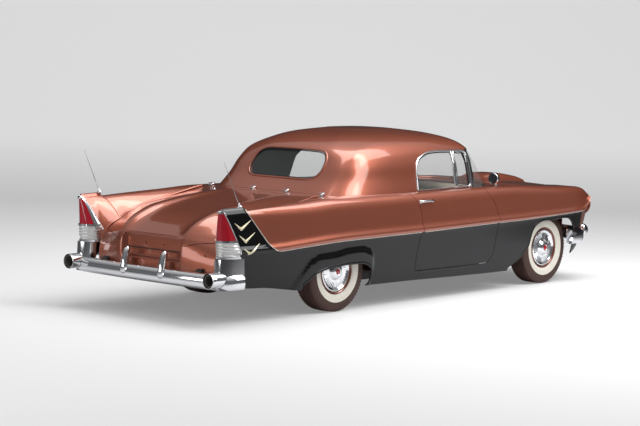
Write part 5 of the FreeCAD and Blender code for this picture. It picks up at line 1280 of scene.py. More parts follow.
turn = add_node("ShaderNodeMath", {"operation": "MULTIPLY"}, {0: part, 1: 2 * math.pi}).outputs[0]
spin = add_node("ShaderNodeCombineXYZ", {}, {"X": turn}).outputs[0]
spread = add_node("GeometryNodeInstanceOnPoints", {}, {"Points": line.outputs[0], "Instance": given["Lug"],
                                                       "Rotation": spin}).outputs[0]
solid = add_node("GeometryNodeRealizeInstances", {}, {0: spread}).outputs[0]
painted = {"Geometry": solid, "Material": given["Finish"]}
close_tree(add_node("GeometryNodeSetMaterial", {}, painted).outputs[0])


def moved(piece, way):
    """Moves a piece's mesh and leaves its object at the origin."""
    piece.data.transform(Matrix.Translation(way))
    return piece


wheel_places = (("rear", 0.770, rear_axle_y), ("front", 0.752, front_axle_y))
whitewall_low, whitewall_high = 0.203, 0.270
lugs_round = 66
fins_round = 36
for end, wheel_x, wheel_y in wheel_places:
    centre = Vector((wheel_x, wheel_y, tyre_radius))
    tyre = lathe("tyre_skin", ring, centre, (1, 0, 0), rubber, 96)
    tyre.data.materials.append(whitewall)
    for face in tyre.data.polygons:
        offset = Vector(face.center) - centre
        radius = math.hypot(offset.y, offset.z)
        if offset.x > 0 and whitewall_low < radius < whitewall_high:
            face.material_index = 1
    lugs = []
    for side in (-1, 1):
        lug = block("lug", (0.0700 if side > 0 else -0.0865, -0.0035, 0.340),
                    (0.0865 if side > 0 else -0.0700, 0.0035, 0.3515), rubber)
        grow_by(lug_tree, lug, Count=lugs_round, Finish=rubber)
        lugs.append(moved(lug, centre))
    disc_profile = [(0.062, 0.181), (0.070, 0.184), (0.0795, 0.1955), (0.0805, 0.1985), (0.078, 0.1995),
                    (0.070, 0.1962), (-0.070, 0.1962), (-0.0795, 0.199), (-0.080, 0.190), (-0.060, 0.186),
                    (0.010, 0.184), (0.018, 0.150), (0.026, 0.030), (0.034, 0.030), (0.034, 0.150)]
    wheel = lathe("wheel_disc", disc_profile, centre, (1, 0, 0), rim_paint, 96)
    cap_profile = [(0.042, 0.179), (0.066, 0.1805), (0.078, 0.176), (0.0805, 0.168), (0.076, 0.158),
                   (0.068, 0.148), (0.0665, 0.138), (0.070, 0.120), (0.0725, 0.096), (0.074, 0.080),
                   (0.079, 0.074), (0.090, 0.068), (0.100, 0.055), (0.105, 0.040), (0.1065, 0.030),
                   (0.1045, 0.027), (0.036, 0.026)]
    cap = lathe("hubcap_dome", cap_profile, centre, (1, 0, 0), chrome, 96)
    badge = lathe("hubcap_centre", [(0.095, 0.0005), (0.095, 0.027), (0.1045, 0.027), (0.1085, 0.020),
                                    (0.110, 0.010), (0.1103, 0.0005)], centre, (1, 0, 0), hub_red, 48)
    spoke = block("fin_of_cap", (0.0685, -0.0022, 0.100), (0.0745, 0.0022, 0.146), chrome)
    grow_by(lug_tree, spoke, Count=fins_round, Finish=chrome)
    moved(spoke, centre)
    name = f"{end}_{{side}}"
    fit_pair(smooth(tyre, 40), f"tyre_skin_{name}", f"wheel_{name}", "tyre", f"tyre_{name}")
    for k, lug in enumerate(lugs):
        fit_pair(lug, f"tyre_lugs_{k}_{name}", f"wheel_{name}", "tyre")
    fit_pair(smooth(wheel), f"wheel_disc_{name}", f"wheel_{name}", "rim_paint", f"wheel_{name}")
    fit_pair(smooth(cap), f"hubcap_dome_{name}", f"wheel_{name}", "chrome", f"hubcap_{name}")
    fit_pair(smooth(badge), f"hubcap_centre_{name}", f"wheel_{name}", "red_lens")
    fit_pair(spoke, f"hubcap_fins_{name}", f"wheel_{name}", "chrome")

# A rolled lip runs across the lid over the plate recess, and a bead covers each joint at a fin's foot
lip_half = 0.375
lip_path = [(x, rear_axle_y - 1.383 + max(abs(x) - 0.30, 0) / 6, 0.6905 - 0.3 * max(abs(x) - 0.345, 0))
            for x in np.linspace(-lip_half, lip_half, 31)]
fit(bead("deck_lip", lip_path, (0, -1, 0.4), 0.016, 0.014, copper_paint), "deck_lid", "copper_paint")
foot_bead = []
for share in np.linspace(-0.428, -0.036, 60):
    out, foot = follow(fin_foot_shares, share)
    foot_bead.append((out * half_width - 0.004, along(share), foot * belt_height + 0.006))
fit_pair(bead("fin_foot_bead", foot_bead, (-0.5, 0, 0.8), 0.018, 0.008, copper_paint),
         "fin_foot_bead_{side}", "body", "copper_paint")

# Bright trim is die-cast or pressed: three chevrons on each fin, the lips of the wheel arches and a door
# handle with a push button.
gold = finish_of("pale_gold", (0.92, 0.83, 0.58), 0.55, 0.3,
                 lambda tree: {"Roughness": 0.26 + tree.noise(tree.place(), 90.0) * 0.1})


def forms_of(*pieces):
    """The surfaces of pieces, for finding where trim touches them."""
    graph = bpy.context.evaluated_depsgraph_get()
    return [BVHTree.FromObject(piece, graph) for piece in pieces]


def touch(forms, start, way):
    """Where a line first meets one of the surfaces, and the way that it faces there."""
    hits = [form.ray_cast(Vector(start), Vector(way)) for form in forms]
    point, normal = min((hit for hit in hits if hit[0]), key=lambda hit: hit[3])[:2]
    return point, normal if normal.dot(Vector(way)) < 0 else -normal


side_forms = forms_of(fin_cap_outer, quarter_upper, quarter_lower, fender_upper, fender_lower, door_core)
chevrons = (((-1.266, 0.804), (-1.334, 0.857), (-1.156, 0.871)),
            ((-1.222, 0.701), (-1.291, 0.753), (-1.118, 0.770)),
            ((-1.188, 0.598), (-1.255, 0.643), (-1.073, 0.676)))
arm_half, arm_edge = 0.0105, 0.0016
arm_foot, arm_rise = 0.0018, 0.0042
far_right = 1.3
for number, (point, *ends) in enumerate(chevrons):
    for arm, end in enumerate(ends):
        start = np.array(point)
        run = np.array(end) - start
        side = np.array((run[1], -run[0])) / np.hypot(*run)
        rows = []
        for t in np.linspace(-0.06, 1.0, 12):
            half = arm_half * (1 - max(t, 0)) + arm_edge
            row = []
            for reach, lift in ((-1, 0.0), (-0.75, 0.6), (0, 1.0), (0.75, 0.6), (1, 0.0)):
                y, z = start + run * t + side * half * reach
                at, _ = touch(side_forms, (far_right, rear_axle_y + y, z), (-1, 0, 0))
                row.append((at.x + arm_foot + arm_rise * lift * (1 - 0.5 * max(t, 0)), rear_axle_y + y, z))
            rows.append(row)
        piece = smooth(shell("chevron", np.array(rows), 0.003, gold), 50)
        fit_pair(piece, f"chevron_{number}_{arm}_{{side}}", "body", "chrome")


def lip(name, outline, centre, width, height, out):
    """A bead round a wheel arch, a distance outside its edge."""
    path, ways = [], []
    for y, z in rounded(outline, 4)[1:-1]:
        away = np.array((y - centre[0], z - centre[1]))
        y, z = np.array((y, z)) + away / np.hypot(*away) * out
        at, facing = touch(side_forms, (far_right, rear_axle_y + y, z), (-1, 0, 0))
        path.append(at - facing * height * 0.25)
        ways.append(facing)
    return bead(name, path, ways, width, height, black_paint)


fit_pair(lip("rear_arch_lip", rear_arch[:-1], (-0.02, 0.25), 0.026, 0.016, 0.012), "rear_arch_lip_{side}",
         "body", "black_paint")
fit_pair(lip("front_arch_lip", front_arch[1:], (3.08, 0.30), 0.020, 0.014, 0.009), "front_arch_lip_{side}",
         "body", "black_paint")
handle_line = ((1.020, 0.0), (1.036, 0.018), (1.075, 0.024), (1.130, 0.026), (1.180, 0.022),
               (1.208, 0.010), (1.218, 0.0))
handle_height = 0.915
widest_x = 0.982
handle_path, ways = [], []
for y, out in rounded(handle_line, 5):
    at, facing = touch(side_forms, (far_right, rear_axle_y + y, handle_height + 0.02 * (y - 1.02)),
                       (-1, 0, 0))
    handle_path.append(at + facing * min(out, widest_x - at.x))
    ways.append(facing)
fit_pair(bead("door_handle", handle_path, ways, 0.019, 0.010, chrome), "door_handle_{side}", "door_{side}",
         "chrome", "door_brightwork_{side}")
for label, y, radius, rise in (("handle_foot", 1.214, 0.013, 0.004),
                               ("handle_button", 1.036, 0.0155, 0.012)):
    at, facing = touch(side_forms, (far_right, rear_axle_y + y, handle_height), (-1, 0, 0))
    foot = lathe(label, [(-0.004, 0.0005), (-0.004, radius), (rise * 0.6, radius * 0.96),
                         (rise, radius * 0.7), (rise * 1.05, 0.0005)], at, facing, chrome, 32)
    fit_pair(smooth(foot, 40), label + "_{side}", "door_{side}", "chrome")

# Each door window has a bright frame in a dark seal, with a swinging vent at its front. The rear window
# sits in a painted bead, and four clamps hold the roof down at the rear.
seal = finish_of("rubber_seal", (0.012, 0.012, 0.013), 0.0, 0.55,
                 lambda tree: {"Roughness": 0.5 + tree.noise(tree.place(), 200.0) * 0.2})
bright = finish_of("polished_frame", (0.93, 0.93, 0.93), 1.0, 0.10,
                   lambda tree: {"Roughness": 0.08 + tree.noise(tree.place(), 20.0) * 0.05})


def on_roof(points, depth, from_side=True):
    """Points of the side or rear view laid on the roof's surface, at a depth, and the ways that they face."""
    path, ways = [], []
    for a, z in points:
        if from_side:
            at, facing = touch([roof_form], (1.4, rear_axle_y + a, z), (-1, 0, 0))
        else:
            at, facing = touch([roof_form], (a, along(-0.6), z), (0, 1, 0))
        path.append(at - facing * depth)
        ways.append(facing)
    return path, ways


window_points = [tuple(p) for p in rounded(door_window, 4)]
window_foot = 1.004
frame_points = [p for p in grown(window_points, 0.001) if p[1] > window_foot]
seal_points = [p for p in grown(window_points, 0.0125) if p[1] > window_foot]
fit_pair(bead("window_frame", *on_roof(frame_points, 0.004), 0.021, 0.026, bright), "window_frame_{side}",
         "door_{side}", "chrome")
fit_pair(bead("window_seal", *on_roof(seal_points, 0.006), 0.008, 0.020, seal), "window_seal_{side}",
         "door_{side}", "chassis_black")
fit_pair(bead("window_rail", *on_roof([(y, 1.008) for y in np.linspace(1.112, 1.972, 24)], 0.002), 0.015,
              0.024, bright), "window_rail_{side}", "door_{side}", "chrome")
fit_pair(bead("vent_post", *on_roof([(1.722, z) for z in np.linspace(1.006, 1.342, 16)], 0.004), 0.030, 0.022,
              bright), "vent_post_{side}", "door_{side}", "chrome")
vent_points = rounded([(1.752, 1.020), (1.752, 1.18), (1.752, 1.328), (1.84, 1.331), (1.922, 1.327),
                       (1.932, 1.246), (1.940, 1.128), (1.944, 1.020), (1.85, 1.019)], 5, around=True)
fit_pair(bead("vent_frame", *on_roof(vent_points, 0.001), 0.013, 0.014, bright, closed=True),
         "vent_frame_{side}", "door_{side}", "chrome")
inner_vent = rounded([(1.764, 1.032), (1.764, 1.18), (1.764, 1.316), (1.84, 1.319), (1.911, 1.315),
                      (1.921, 1.246), (1.929, 1.128), (1.932, 1.032), (1.85, 1.031)], 5, around=True)
fit_pair(bead("vent_seal", *on_roof(inner_vent, 0.003), 0.007, 0.010, seal, closed=True), "vent_seal_{side}",
         "door_{side}", "chassis_black")
fit(bead("rear_window_bead", *on_roof(rear_window_ring(0.006), 0.001, False), 0.022, 0.014, copper_paint,
         closed=True), "body", "copper_paint")
fit(bead("rear_window_seal", *on_roof(rear_window_ring(-0.007), 0.004, False), 0.009, 0.012, seal,
         closed=True), "body", "chassis_black")
clamp_places = ((-0.680, 0.004), (-0.205, 0.060), (0.205, 0.060), (0.680, 0.004))
for number, (x, y) in enumerate(clamp_places):
    base = np.array((x, rear_axle_y + y, belt_height))
    plate = [base + np.array((u, -0.030, 0.0035)) for u in (-0.030, -0.027, 0.0, 0.027, 0.030)]
    piece = bead("clamp_plate", plate, (0, 0, 1), 0.026, 0.008, chrome)
    fit(piece, "body", "chrome").name = f"clamp_plate_{number}"
    hook = [base + np.array((0, dy, dz)) for dy, dz in ((-0.036, 0.006), (-0.026, 0.015), (-0.010, 0.019),
                                                        (0.004, 0.026))]
    piece = bead("clamp_hook", rounded(hook, 4), (0, -0.4, 1), 0.020, 0.008, chrome)
    fit(piece, "body", "chrome").name = f"clamp_hook_{number}"
    lever = [base + np.array((u, -0.024, 0.022 + 0.12 * (u + 0.036)))
             for u in np.linspace(-0.036, 0.042, 9)]
    piece = bead("clamp_lever", lever, (0, -0.6, 1), 0.012, 0.007, chrome)
    fit(piece, "body", "chrome").name = f"clamp_lever_{number}"

# A spotlight stands at each end of the cowl, its chrome bowl to the front. Antenna bases sit on the fins.
spot_low, spot_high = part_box("spotlights")
spot_radius = 0.057
spot_centre = Vector((0.788, (spot_low.y + spot_high.y) / 2, spot_high.z - spot_radius))
bowl_line = [(-0.038, 0.0005), (-0.038, 0.050), (-0.040, 0.0535), (-0.036, 0.057), (-0.026, 0.0565),
             (-0.010, 0.053), (0.008, 0.044), (0.024, 0.031), (0.034, 0.017), (0.039, 0.0005)]
bowl = smooth(lathe("spot_bowl", rounded(bowl_line, 3), spot_centre, (0, 1, 0), chrome, 48), 60)
lens_dark = finish_of("spot_glass", (0.05, 0.052, 0.06), 0.3, 0.06, Coat_Weight=1.0)
spot_lens = lathe("spot_lens", rounded([(-0.0365, 0.0005), (-0.0365, 0.049), (-0.0395, 0.0485),
                                        (-0.0402, 0.030), (-0.0405, 0.0005)], 3), spot_centre, (0, 1, 0),
                  lens_dark, 48)
fit_pair(bowl, "spot_bowl_{side}", "body", "chrome", "spotlights")
fit_pair(smooth(spot_lens, 40), "spot_lens_{side}", "body", "glass")
stem_path = [spot_centre + Vector((0, 0.004, -0.050)), spot_centre + Vector((0.004, 0.002, -0.066)),
             Vector((spot_centre.x + 0.006, spot_centre.y, 0.994))]
fit_pair(bead("spot_stem", stem_path, (1, 0, 0), 0.018, 0.018, chrome), "spot_stem_{side}", "body", "chrome")
spot_foot = lathe("spot_foot", [(-0.006, 0.0005), (-0.006, 0.026), (0.004, 0.024), (0.010, 0.014),
                                (0.012, 0.0005)], (spot_centre.x + 0.006, spot_centre.y, 0.9965), (0, 0, 1),
                  chrome, 32)
fit_pair(smooth(spot_foot, 40), "spot_foot_{side}", "body", "chrome")

mast_foot = Vector((0.862, rear_axle_y - 1.223, 0.985))
mast_tip = Vector((0.856, rear_axle_y - 1.404, 1.350))
mast_sections = ((0.0, 0.0030), (0.44, 0.0030), (0.445, 0.0021), (0.80, 0.0021), (0.805, 0.0014),
                 (1.0, 0.0014), (1.001, 0.0030), (1.012, 0.0030), (1.014, 0.0005))
mast_way = mast_tip - mast_foot
mast = lathe("antenna_mast", [(0, 0.0005)] + [(a * mast_way.length, r) for a, r in mast_sections], mast_foot,
             mast_way, chrome, 12)
fit_pair(smooth(mast, 50), "antenna_mast_{side}", "body", "chrome", "antennas")
mast_base = lathe("antenna_base", rounded([(-0.010, 0.0005), (-0.010, 0.020), (0.001, 0.019), (0.006, 0.012),
                                           (0.012, 0.009), (0.024, 0.006), (0.030, 0.0005)], 2), mast_foot,
                  (0, -0.2, 1), chrome, 32)
fit_pair(smooth(mast_base, 50), "antenna_base_{side}", "body", "chrome")

# The front end: each fender ends in a rounded nose that holds a headlamp, over a bumper with two bullets.
# The loops over a nose run from its section's edge to the lamp's ring, and then back into its mouth.
nose_y = along(nose_end)
fender_nose = shell("fender_nose", section_grid(lower_line, nose_foot, nose_end, step=0.012), panel_sheet,
                    copper_paint)
fit_pair(smooth(fender_nose), "fender_nose_{side}", "body", "copper_paint")
nose_loop = [tuple(p) for p in upper_line(nose_end, start=hood_edge_share)]
nose_loop += [tuple(p) for p in lower_line(nose_end)[1:]]
nose_loop += [(x, nose_loop[-1][1]) for x in np.linspace(nose_loop[-1][0], nose_loop[0][0], 12)[1:]]
nose_loop += [(nose_loop[0][0], z) for z in np.linspace(nose_loop[-1][1], nose_loop[0][1], 12)[1:-1]]
lamp_centre = np.array((0.788, 0.752))
nose_turns = 96
lamp_clearance = 0.112
# Loops over the nose: share of the way out to its edge, distance forward, and a radius where it's fixed
nose_rings = ((1.0, 0.0, 0), (0.985, 0.010, 0), (0.93, 0.018, 0), (0.80, 0.021, 0), (0, 0.016, 0.108),
              (0, 0.0, 0.098), (0, -0.03, 0.096))


def loop_reach(loop, centre, turn):
    """How far a closed outline lies from a point inside it, in one direction."""
    way = np.array((math.cos(turn), math.sin(turn)))
    best = 0.0
    for a, b in zip(loop, loop[1:] + loop[:1]):
        a, run = np.array(a) - centre, np.array(b) - np.array(a)
        det = way[1] * run[0] - way[0] * run[1]
        if abs(det) > 1e-12:
            reach = (a[1] * run[0] - a[0] * run[1]) / det
            part = (way[0] * a[1] - way[1] * a[0]) / det
            if reach > 0 and -1e-9 <= part <= 1 + 1e-9:
                best = max(best, reach)
    return best


turns = np.linspace(0, 2 * math.pi, nose_turns + 1)[:-1]
reaches = [loop_reach(nose_loop, lamp_centre, turn) for turn in turns]
points = []
for share, forward, fixed in nose_rings:
    for turn, reach in zip(turns, reaches):
        out = fixed or max(reach * share, lamp_clearance)
        points.append((lamp_centre[0] + out * math.cos(turn), nose_y + forward,
                       lamp_centre[1] + out * math.sin(turn)))
nose_face = mesh_object("nose_face", points, grid_faces(len(nose_rings), nose_turns, around=True),
                        copper_paint)
thick = nose_face.modifiers.new("sheet", "SOLIDIFY")
thick.thickness = 0.004
thick.offset = 0
settle(nose_face)
fit_pair(smooth(turn_out(nose_face)), "nose_face_{side}", "body", "copper_paint")


def headlamp_pattern(tree):
    """Upright flutes pressed in the glass."""
    x, _, z = tree.parts(tree.place())
    flutes = (x * 420.0).wave()
    return {"Normal": tree.bump(flutes, 0.0012, 0.5), "Roughness": 0.08 + (z * 300.0).wave() * 0.02}


headlamp_glass = finish_of("headlamp_lens", (0.70, 0.71, 0.72), 0.55, 0.08, headlamp_pattern,
                           Coat_Weight=1.0)
place = (lamp_centre[0], nose_y, lamp_centre[1])
lens_line = [(-0.020, 0.0005), (-0.020, 0.086), (0.000, 0.086), (0.010, 0.070), (0.017, 0.045),
             (0.020, 0.020), (0.0208, 0.0005)]
headlamp = lathe("headlamp", rounded(lens_line, 3), place, (0, 1, 0), headlamp_glass, 64)
ring_line = [(-0.02, 0.086), (-0.02, 0.096), (0.006, 0.0975), (0.017, 0.0955), (0.020, 0.091),
             (0.014, 0.0865)]
headlamp_ring = lathe("headlamp_ring", rounded(ring_line, 2), place, (0, 1, 0), chrome, 64)
fit_pair(smooth(headlamp), "headlamp_{side}", "body", "glass", "headlamps")
fit_pair(smooth(headlamp_ring), "headlamp_ring_{side}", "body", "chrome", "headlamp_rims")

# The front bar's plan: a share of its half width and a station
front_bar_half = 0.96333
front_bar_height = 0.452
front_bar_inset = 0.02
front_bar_stretch = 1.15
front_plan = ((0, 1.236), (0.28, 1.235), (0.55, 1.228), (0.76, 1.213), (0.88, 1.192), (0.94, 1.166),
              (0.965, 1.13), (0.972, 1.10))
half_plan = rounded([(a * front_bar_half, along(b) - front_bar_inset) for a, b in front_plan], 6)
plan_line = np.concatenate([half_plan[::-1] * (-1, 1), half_plan[1:]])
front_section = [(-out, up * front_bar_stretch) for out, up in bar_section][::-1]
front_bar = swept_bar("front_bar", [(x, y, front_bar_height) for x, y in plan_line], front_section, chrome)
fit(smooth(front_bar), "body", "chrome", "front_bumper")
bullet_place = (0.795, 2.690, 0.486)
bullet_line = [(-0.090, 0.0005), (-0.090, 0.066), (-0.055, 0.069), (-0.020, 0.061), (0.010, 0.044),
               (0.030, 0.024), (0.039, 0.010), (0.041, 0.0005)]
bullet = lathe("bumper_bullet", rounded(bullet_line, 3), bullet_place, (0, 1, 0), chrome, 48)
fit_pair(smooth(bullet), "bumper_bullet_{side}", "body", "chrome")
mouth_y = 2.556
mouth_line = ((-0.535, 0.590), (-0.535, 0.78), (-0.50, 0.812), (0, 0.822), (0.50, 0.812), (0.535, 0.78),
              (0.535, 0.590), (0.50, 0.560), (0, 0.556), (-0.50, 0.560))
mouth = [(x, mouth_y, z) for x, z in rounded(mouth_line, 6, around=True)]
fit(bead("grille_surround", mouth, (0, 1, 0), 0.030, 0.030, chrome, closed=True), "body", "chrome")

# The cabin has a bench in front and a small seat behind, pleated in cloth with vinyl bolsters, a padded
# dash with round dials, and a thin-rimmed steering wheel.
def cloth_pattern(tree):
    place = tree.place()
    x, y, z = tree.parts(place)
    weave = (x * 2400.0).wave() * (z * 2400.0 + y * 2400.0).wave()
    shade = tree.noise(place, 8.0, 2.0)
    return {"Base Color": tree.blend(shade, (0.24, 0.105, 0.070, 1), (0.30, 0.140, 0.095, 1)),
            "Roughness": 0.75 + weave * 0.08, "Normal": tree.bump(weave, 0.0004, 0.4)}


seat_cloth = finish_of("seat_cloth", (0.27, 0.12, 0.08), 0.0, 0.8, cloth_pattern, Sheen_Weight=0.3)


def pad(name, low, high, radius, facing, pleats, crown):
    """A stuffed block: round edges, a crowned face with sewn pleats, and sides that pull in."""
    low, high = np.array(low, float), np.array(high, float)
    middle, half = (low + high) / 2, (high - low) / 2
    steps = [max(int(s / pad_step), 6) for s in 2 * half]
    points, faces, tints = {}, [], []

    def corner(*key):
        if key not in points:
            q = 2 * np.array(key) / steps - 1
            core = np.clip(q * half, -(half - radius), half - radius)
            away = q * half - core
            away = away / max(np.linalg.norm(away), 1e-9)
            p = core + away * radius
            u, v = [q[a] for a in range(3) if a != facing[0]]
            facing_part = max(away[facing[0]] * facing[1], 0.0)
            channel = abs(math.sin(math.pi * pleats * (u + 1) / 2)) ** 0.45 - 1
            edge = (min(max((cloth_half[0] - abs(u)) / 0.05, 0), 1)
                    * min(max((cloth_half[1] - abs(v)) / 0.08, 0), 1))
            lift = crown * (1 - u * u) * (1 - v * v) * 0.6 + pleat_depth * channel * edge
            p[facing[0]] += facing[1] * facing_part * (lift - crown * 0.6)
            pull = 1 - side_pull * (1 - abs(away[facing[0]]))
            p = p * (np.where(np.arange(3) == facing[0], 1.0, pull))
            points[key] = (len(points), middle + p)
        return points[key][0]

    for axis in range(3):
        a, b = [n for n in range(3) if n != axis]
        for end in (0, steps[axis]):
            for m in range(steps[a]):
                for n in range(steps[b]):
                    quad = []
                    for dm, dn in ((0, 0), (1, 0), (1, 1), (0, 1)):
                        index = [0, 0, 0]
                        index[axis], index[a], index[b] = end, m + dm, n + dn
                        quad.append(corner(*index))
                    faces.append(quad)
                    centre = abs(2 * (m + 0.5) / steps[a] - 1), abs(2 * (n + 0.5) / steps[b] - 1)
                    face_on = axis == facing[0] and (end > 0) == (facing[1] > 0)
                    on_cloth = centre[0] < cloth_half[0] and centre[1] < cloth_half[1]
                    tints.append(1 if face_on and on_cloth else 0)
    piece = mesh_object(name, [p for _, p in points.values()], faces, [door_trim, seat_cloth], tints)
    return smooth(turn_out(piece), 60)


pad_step = 0.0125
pleat_depth = 0.012
side_pull = 0.012
# How far the cloth reaches over a pad's face, along and across it, as shares of its half size
cloth_half = (0.93, 0.88)
seat_low, seat_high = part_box("front_seat")
seat_line, seat_top = seat_low.y + 0.150, seat_low.z + 0.150
for number, (x0, x1) in enumerate(((seat_low.x, -0.003), (0.003, seat_high.x))):
    front_pads = [pad("front_cushion", (x0, seat_line - 0.010, seat_low.z + 0.040),
                      (x1, seat_high.y, seat_top + 0.010), 0.045, (2, 1), 9, 0.012),
                  pad("front_back", (x0, seat_low.y, seat_low.z + 0.060),
                      (x1, seat_line + 0.005, seat_high.z), 0.050, (1, 1), 9, 0.012)]
    for label, piece in zip(("cushion", "back"), front_pads):
        fit(piece, "body", "upholstery", "front_seat").name = f"front_seat_{label}_{number}"
tunnel_half = 0.08
for number, (x0, x1) in enumerate(((seat_low.x + 0.01, -tunnel_half), (tunnel_half, seat_high.x - 0.01))):
    base = block("front_seat_base", (x0, seat_low.y + 0.02, seat_low.z),
                 (x1, seat_high.y - 0.02, seat_low.z + 0.06), door_trim)
    fit(base, "body", "upholstery").name = f"front_seat_base_{number}"
back_low, back_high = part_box("rear_seat")
rear_line, rear_top = back_low.y + 0.150, back_low.z + 0.135
rear_pads = [pad("rear_cushion", (back_low.x, rear_line - 0.010, back_low.z),
                 (back_high.x, back_high.y, rear_top), 0.040, (2, 1), 16, 0.012),
             pad("rear_back", (back_low.x, back_low.y, back_low.z + 0.02),
                 (back_high.x, rear_line, back_high.z), 0.045, (1, 1), 16, 0.012)]
for label, piece in zip(("cushion", "back"), rear_pads):
    fit(piece, "body", "upholstery", "rear_seat").name = f"rear_seat_{label}"
dash_low, dash_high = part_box("dashboard")
dash_line = [(0.0, 0.0), (0.0, 0.228), (0.090, 0.2295), (0.150, 0.222), (0.182, 0.196), (0.188, 0.160),
             (0.172, 0.128), (0.150, 0.100), (0.142, 0.050), (0.130, 0.012), (0.100, 0.0)]
dash_pad_foot = 0.15
dash = swept_bar("dash", [(x, dash_high.y, dash_low.z) for x in np.linspace(dash_low.x, dash_high.x, 9)],
                 rounded(dash_line, 4), [copper_paint, door_trim])
for face in dash.data.polygons:
    face.material_index = 1 if face.center.z > dash_low.z + dash_pad_foot else 0
fit(smooth(dash, 50), "body", "copper_paint", "dashboard")
dial_face = finish_of("dial_face", (0.02, 0.02, 0.022), 0.0, 0.35, Coat_Weight=1.0)
dials = ((-0.50, 0.036), (-0.374, 0.052), (-0.248, 0.036), (-0.10, 0.026), (0.10, 0.026))
dial_way = (0, -1, 0.18)
for number, (x, radius) in enumerate(dials):
    centre = (x, dash_high.y - 0.150, dash_low.z + 0.088)
    ring = lathe("dial_ring", [(-0.004, radius), (0.010, radius + 0.001), (0.013, radius - 0.003),
                               (0.008, radius - 0.006), (-0.004, radius - 0.006)], centre, dial_way,
                 chrome, 40)
    fit(smooth(ring, 40), "body", "chrome").name = f"dial_ring_{number}"
    plate = lathe("dial", [(-0.004, 0.0005), (-0.004, radius - 0.004), (0.005, radius - 0.005),
                           (0.005, 0.0005)], centre, dial_way, dial_face, 40)
    fit(plate, "body", "chassis_black").name = f"dial_{number}"
    needle = block("dial_needle", (-0.0012, -0.0072, 0.0), (0.0012, -0.0058, radius * 0.7), hub_red)
    needle.data.transform(Matrix.Translation(centre) @ Matrix.Rotation(-0.9, 4, "Y"))
    fit(needle, "body", "red_lens").name = f"dial_needle_{number}"
wheel_tilt = math.radians(25)
column_way = Vector((0, math.cos(wheel_tilt), -math.sin(wheel_tilt)))
steer_centre = Vector((-0.38 * half_width, along(0.585), 0.88 * belt_height))
rim_radius = 0.0105
rim_section = [(rim_radius * math.sin(t), 0.215 + rim_radius * math.cos(t))
               for t in np.linspace(0, 2 * math.pi, 17)[:-1]]
steer_rim = lathe("steering_rim", rim_section, steer_centre, column_way, door_trim, 72)
fit(smooth(steer_rim, 60), "body", "upholstery", "steering_wheel")
horn_section = [(0.003 + 0.003 * math.sin(t), 0.150 + 0.003 * math.cos(t))
                for t in np.linspace(0, 2 * math.pi, 9)[:-1]]
horn_ring = lathe("horn_ring", horn_section, steer_centre, column_way, chrome, 60)
fit(smooth(horn_ring, 60), "body", "chrome")
hub_line = [(-0.012, 0.0005), (-0.010, 0.018), (0.0, 0.030), (0.020, 0.033), (0.034, 0.024), (0.20, 0.022),
            (0.20, 0.0005)]
steer_hub = lathe("steering_hub", rounded(hub_line[:5], 3).tolist() + hub_line[5:], steer_centre, column_way,
                  door_trim, 40)
fit(smooth(steer_hub, 40), "body", "upholstery")
for number, turn in enumerate((0.10, math.pi - 0.10, -math.pi / 2)):
    out = Vector((math.cos(turn), 0, 0)) + column_way.cross(Vector((1, 0, 0))) * -math.sin(turn)
    out.normalize()
    path = [steer_centre + out * r + column_way * d for r, d in ((0.026, 0.010), (0.08, 0.012), (0.15, 0.006),
                                                               (0.212, 0.0))]
    spoke = bead("steering_spoke", rounded(path, 4), tuple(-column_way), 0.022, 0.008, chrome)
    fit(spoke, "body", "chrome").name = f"steering_spoke_{number}"
# The lining is near black: painted shade for the dark inside of the cabin seen through the glass.
headliner = finish_of("headliner", (0.030, 0.022, 0.020), 0.0, 0.9,
                      lambda tree: {"Normal": tree.bump(tree.noise(tree.place(), 300.0), 0.0005, 0.4)})
roof_skin.data.materials.append(headliner)
lining_depth = 0.020
for face in roof_skin.data.polygons:
    if roof_form.find_nearest(face.center)[3] > lining_depth:
        face.material_index = 1

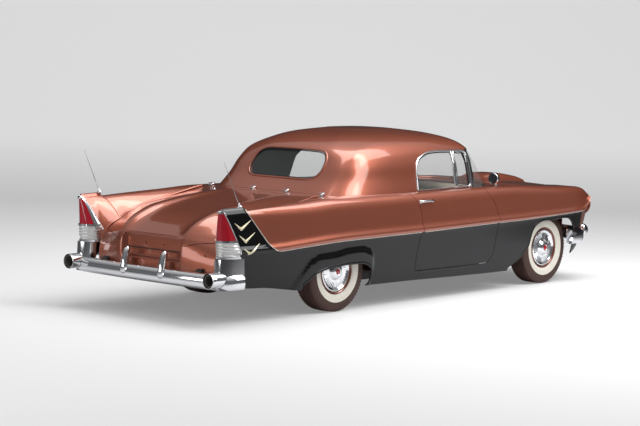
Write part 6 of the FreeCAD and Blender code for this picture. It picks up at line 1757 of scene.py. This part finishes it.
# Under the body are a welded box frame, a cast engine block, springs, axles and the exhaust. They are
# painted or bare metal, dulled by use.
def dull_metal(name, dark, pale, metallic, roughness, grain):
    """Metal between a dark and a pale colour, with a grain."""
    def pattern(tree):
        rust = tree.noise(tree.place(), grain, 4.0, 0.6)
        return {"Base Color": tree.blend(rust, (*dark, 1), (*pale, 1)), "Roughness": roughness + rust * 0.25,
                "Normal": tree.bump(rust, 0.0008, 0.3)}
    return finish_of(name, pale, metallic, roughness, pattern)


frame_paint = dull_metal("frame_paint", (0.012, 0.012, 0.013), (0.030, 0.029, 0.028), 0.0, 0.45, 30.0)
cast_iron = dull_metal("cast_iron", (0.09, 0.085, 0.08), (0.16, 0.15, 0.14), 0.6, 0.5, 60.0)
bare_steel = dull_metal("bare_steel", (0.22, 0.21, 0.20), (0.34, 0.33, 0.32), 0.9, 0.35, 40.0)
tank_metal = dull_metal("tank_metal", (0.30, 0.30, 0.30), (0.42, 0.42, 0.41), 0.8, 0.4, 20.0)
pipe_shares = ((0.33, 0.181, 0.255), (0.33, 0.165, 0.255), (0.33, 0.07, 0.455), (0.33, -0.12, 0.455),
               (0.43, -0.25, 0.36), (0.43, -0.31, 0.36), (0.80, -0.385, 0.394), (0.874, -0.41, 0.394))
pipe_line = [(a * half_width, along(b), c * belt_height) for a, b, c in pipe_shares]
tail_run = bead("tail_run", rounded(pipe_line, 5), (0, 0, 1), 0.050, 0.050, bare_steel)
fit_pair(tail_run, "tail_run_{side}", "body", "steel", "tail_pipes")
carpet = finish_of("cabin_carpet", (0.10, 0.042, 0.030), 0.0, 0.95,
                   lambda tree: {"Normal": tree.bump(tree.noise(tree.place(), 500.0, 2.0), 0.002, 0.8)})
finishes = {frame_paint: ("frame", "front_frame", "front_crossmember", "front_suspension", "rear_springs",
                          "sills"),
            cast_iron: ("engine", "rear_axle", "knuckle_left", "knuckle_right"), bare_steel: ("exhaust",),
            tank_metal: ("fuel_tank",), chrome: ("windshield_frame", "grille"),
            copper_paint: ("rear_shelf", "nose_panel"), carpet: ("floor_pan",)}
for finish, names in finishes.items():
    for name in names:
        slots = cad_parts[name].data.materials
        slots.clear()
        slots.append(finish)

drop(tail_wedge, door_hole, door_form, rear_opening, front_opening, sill_top)
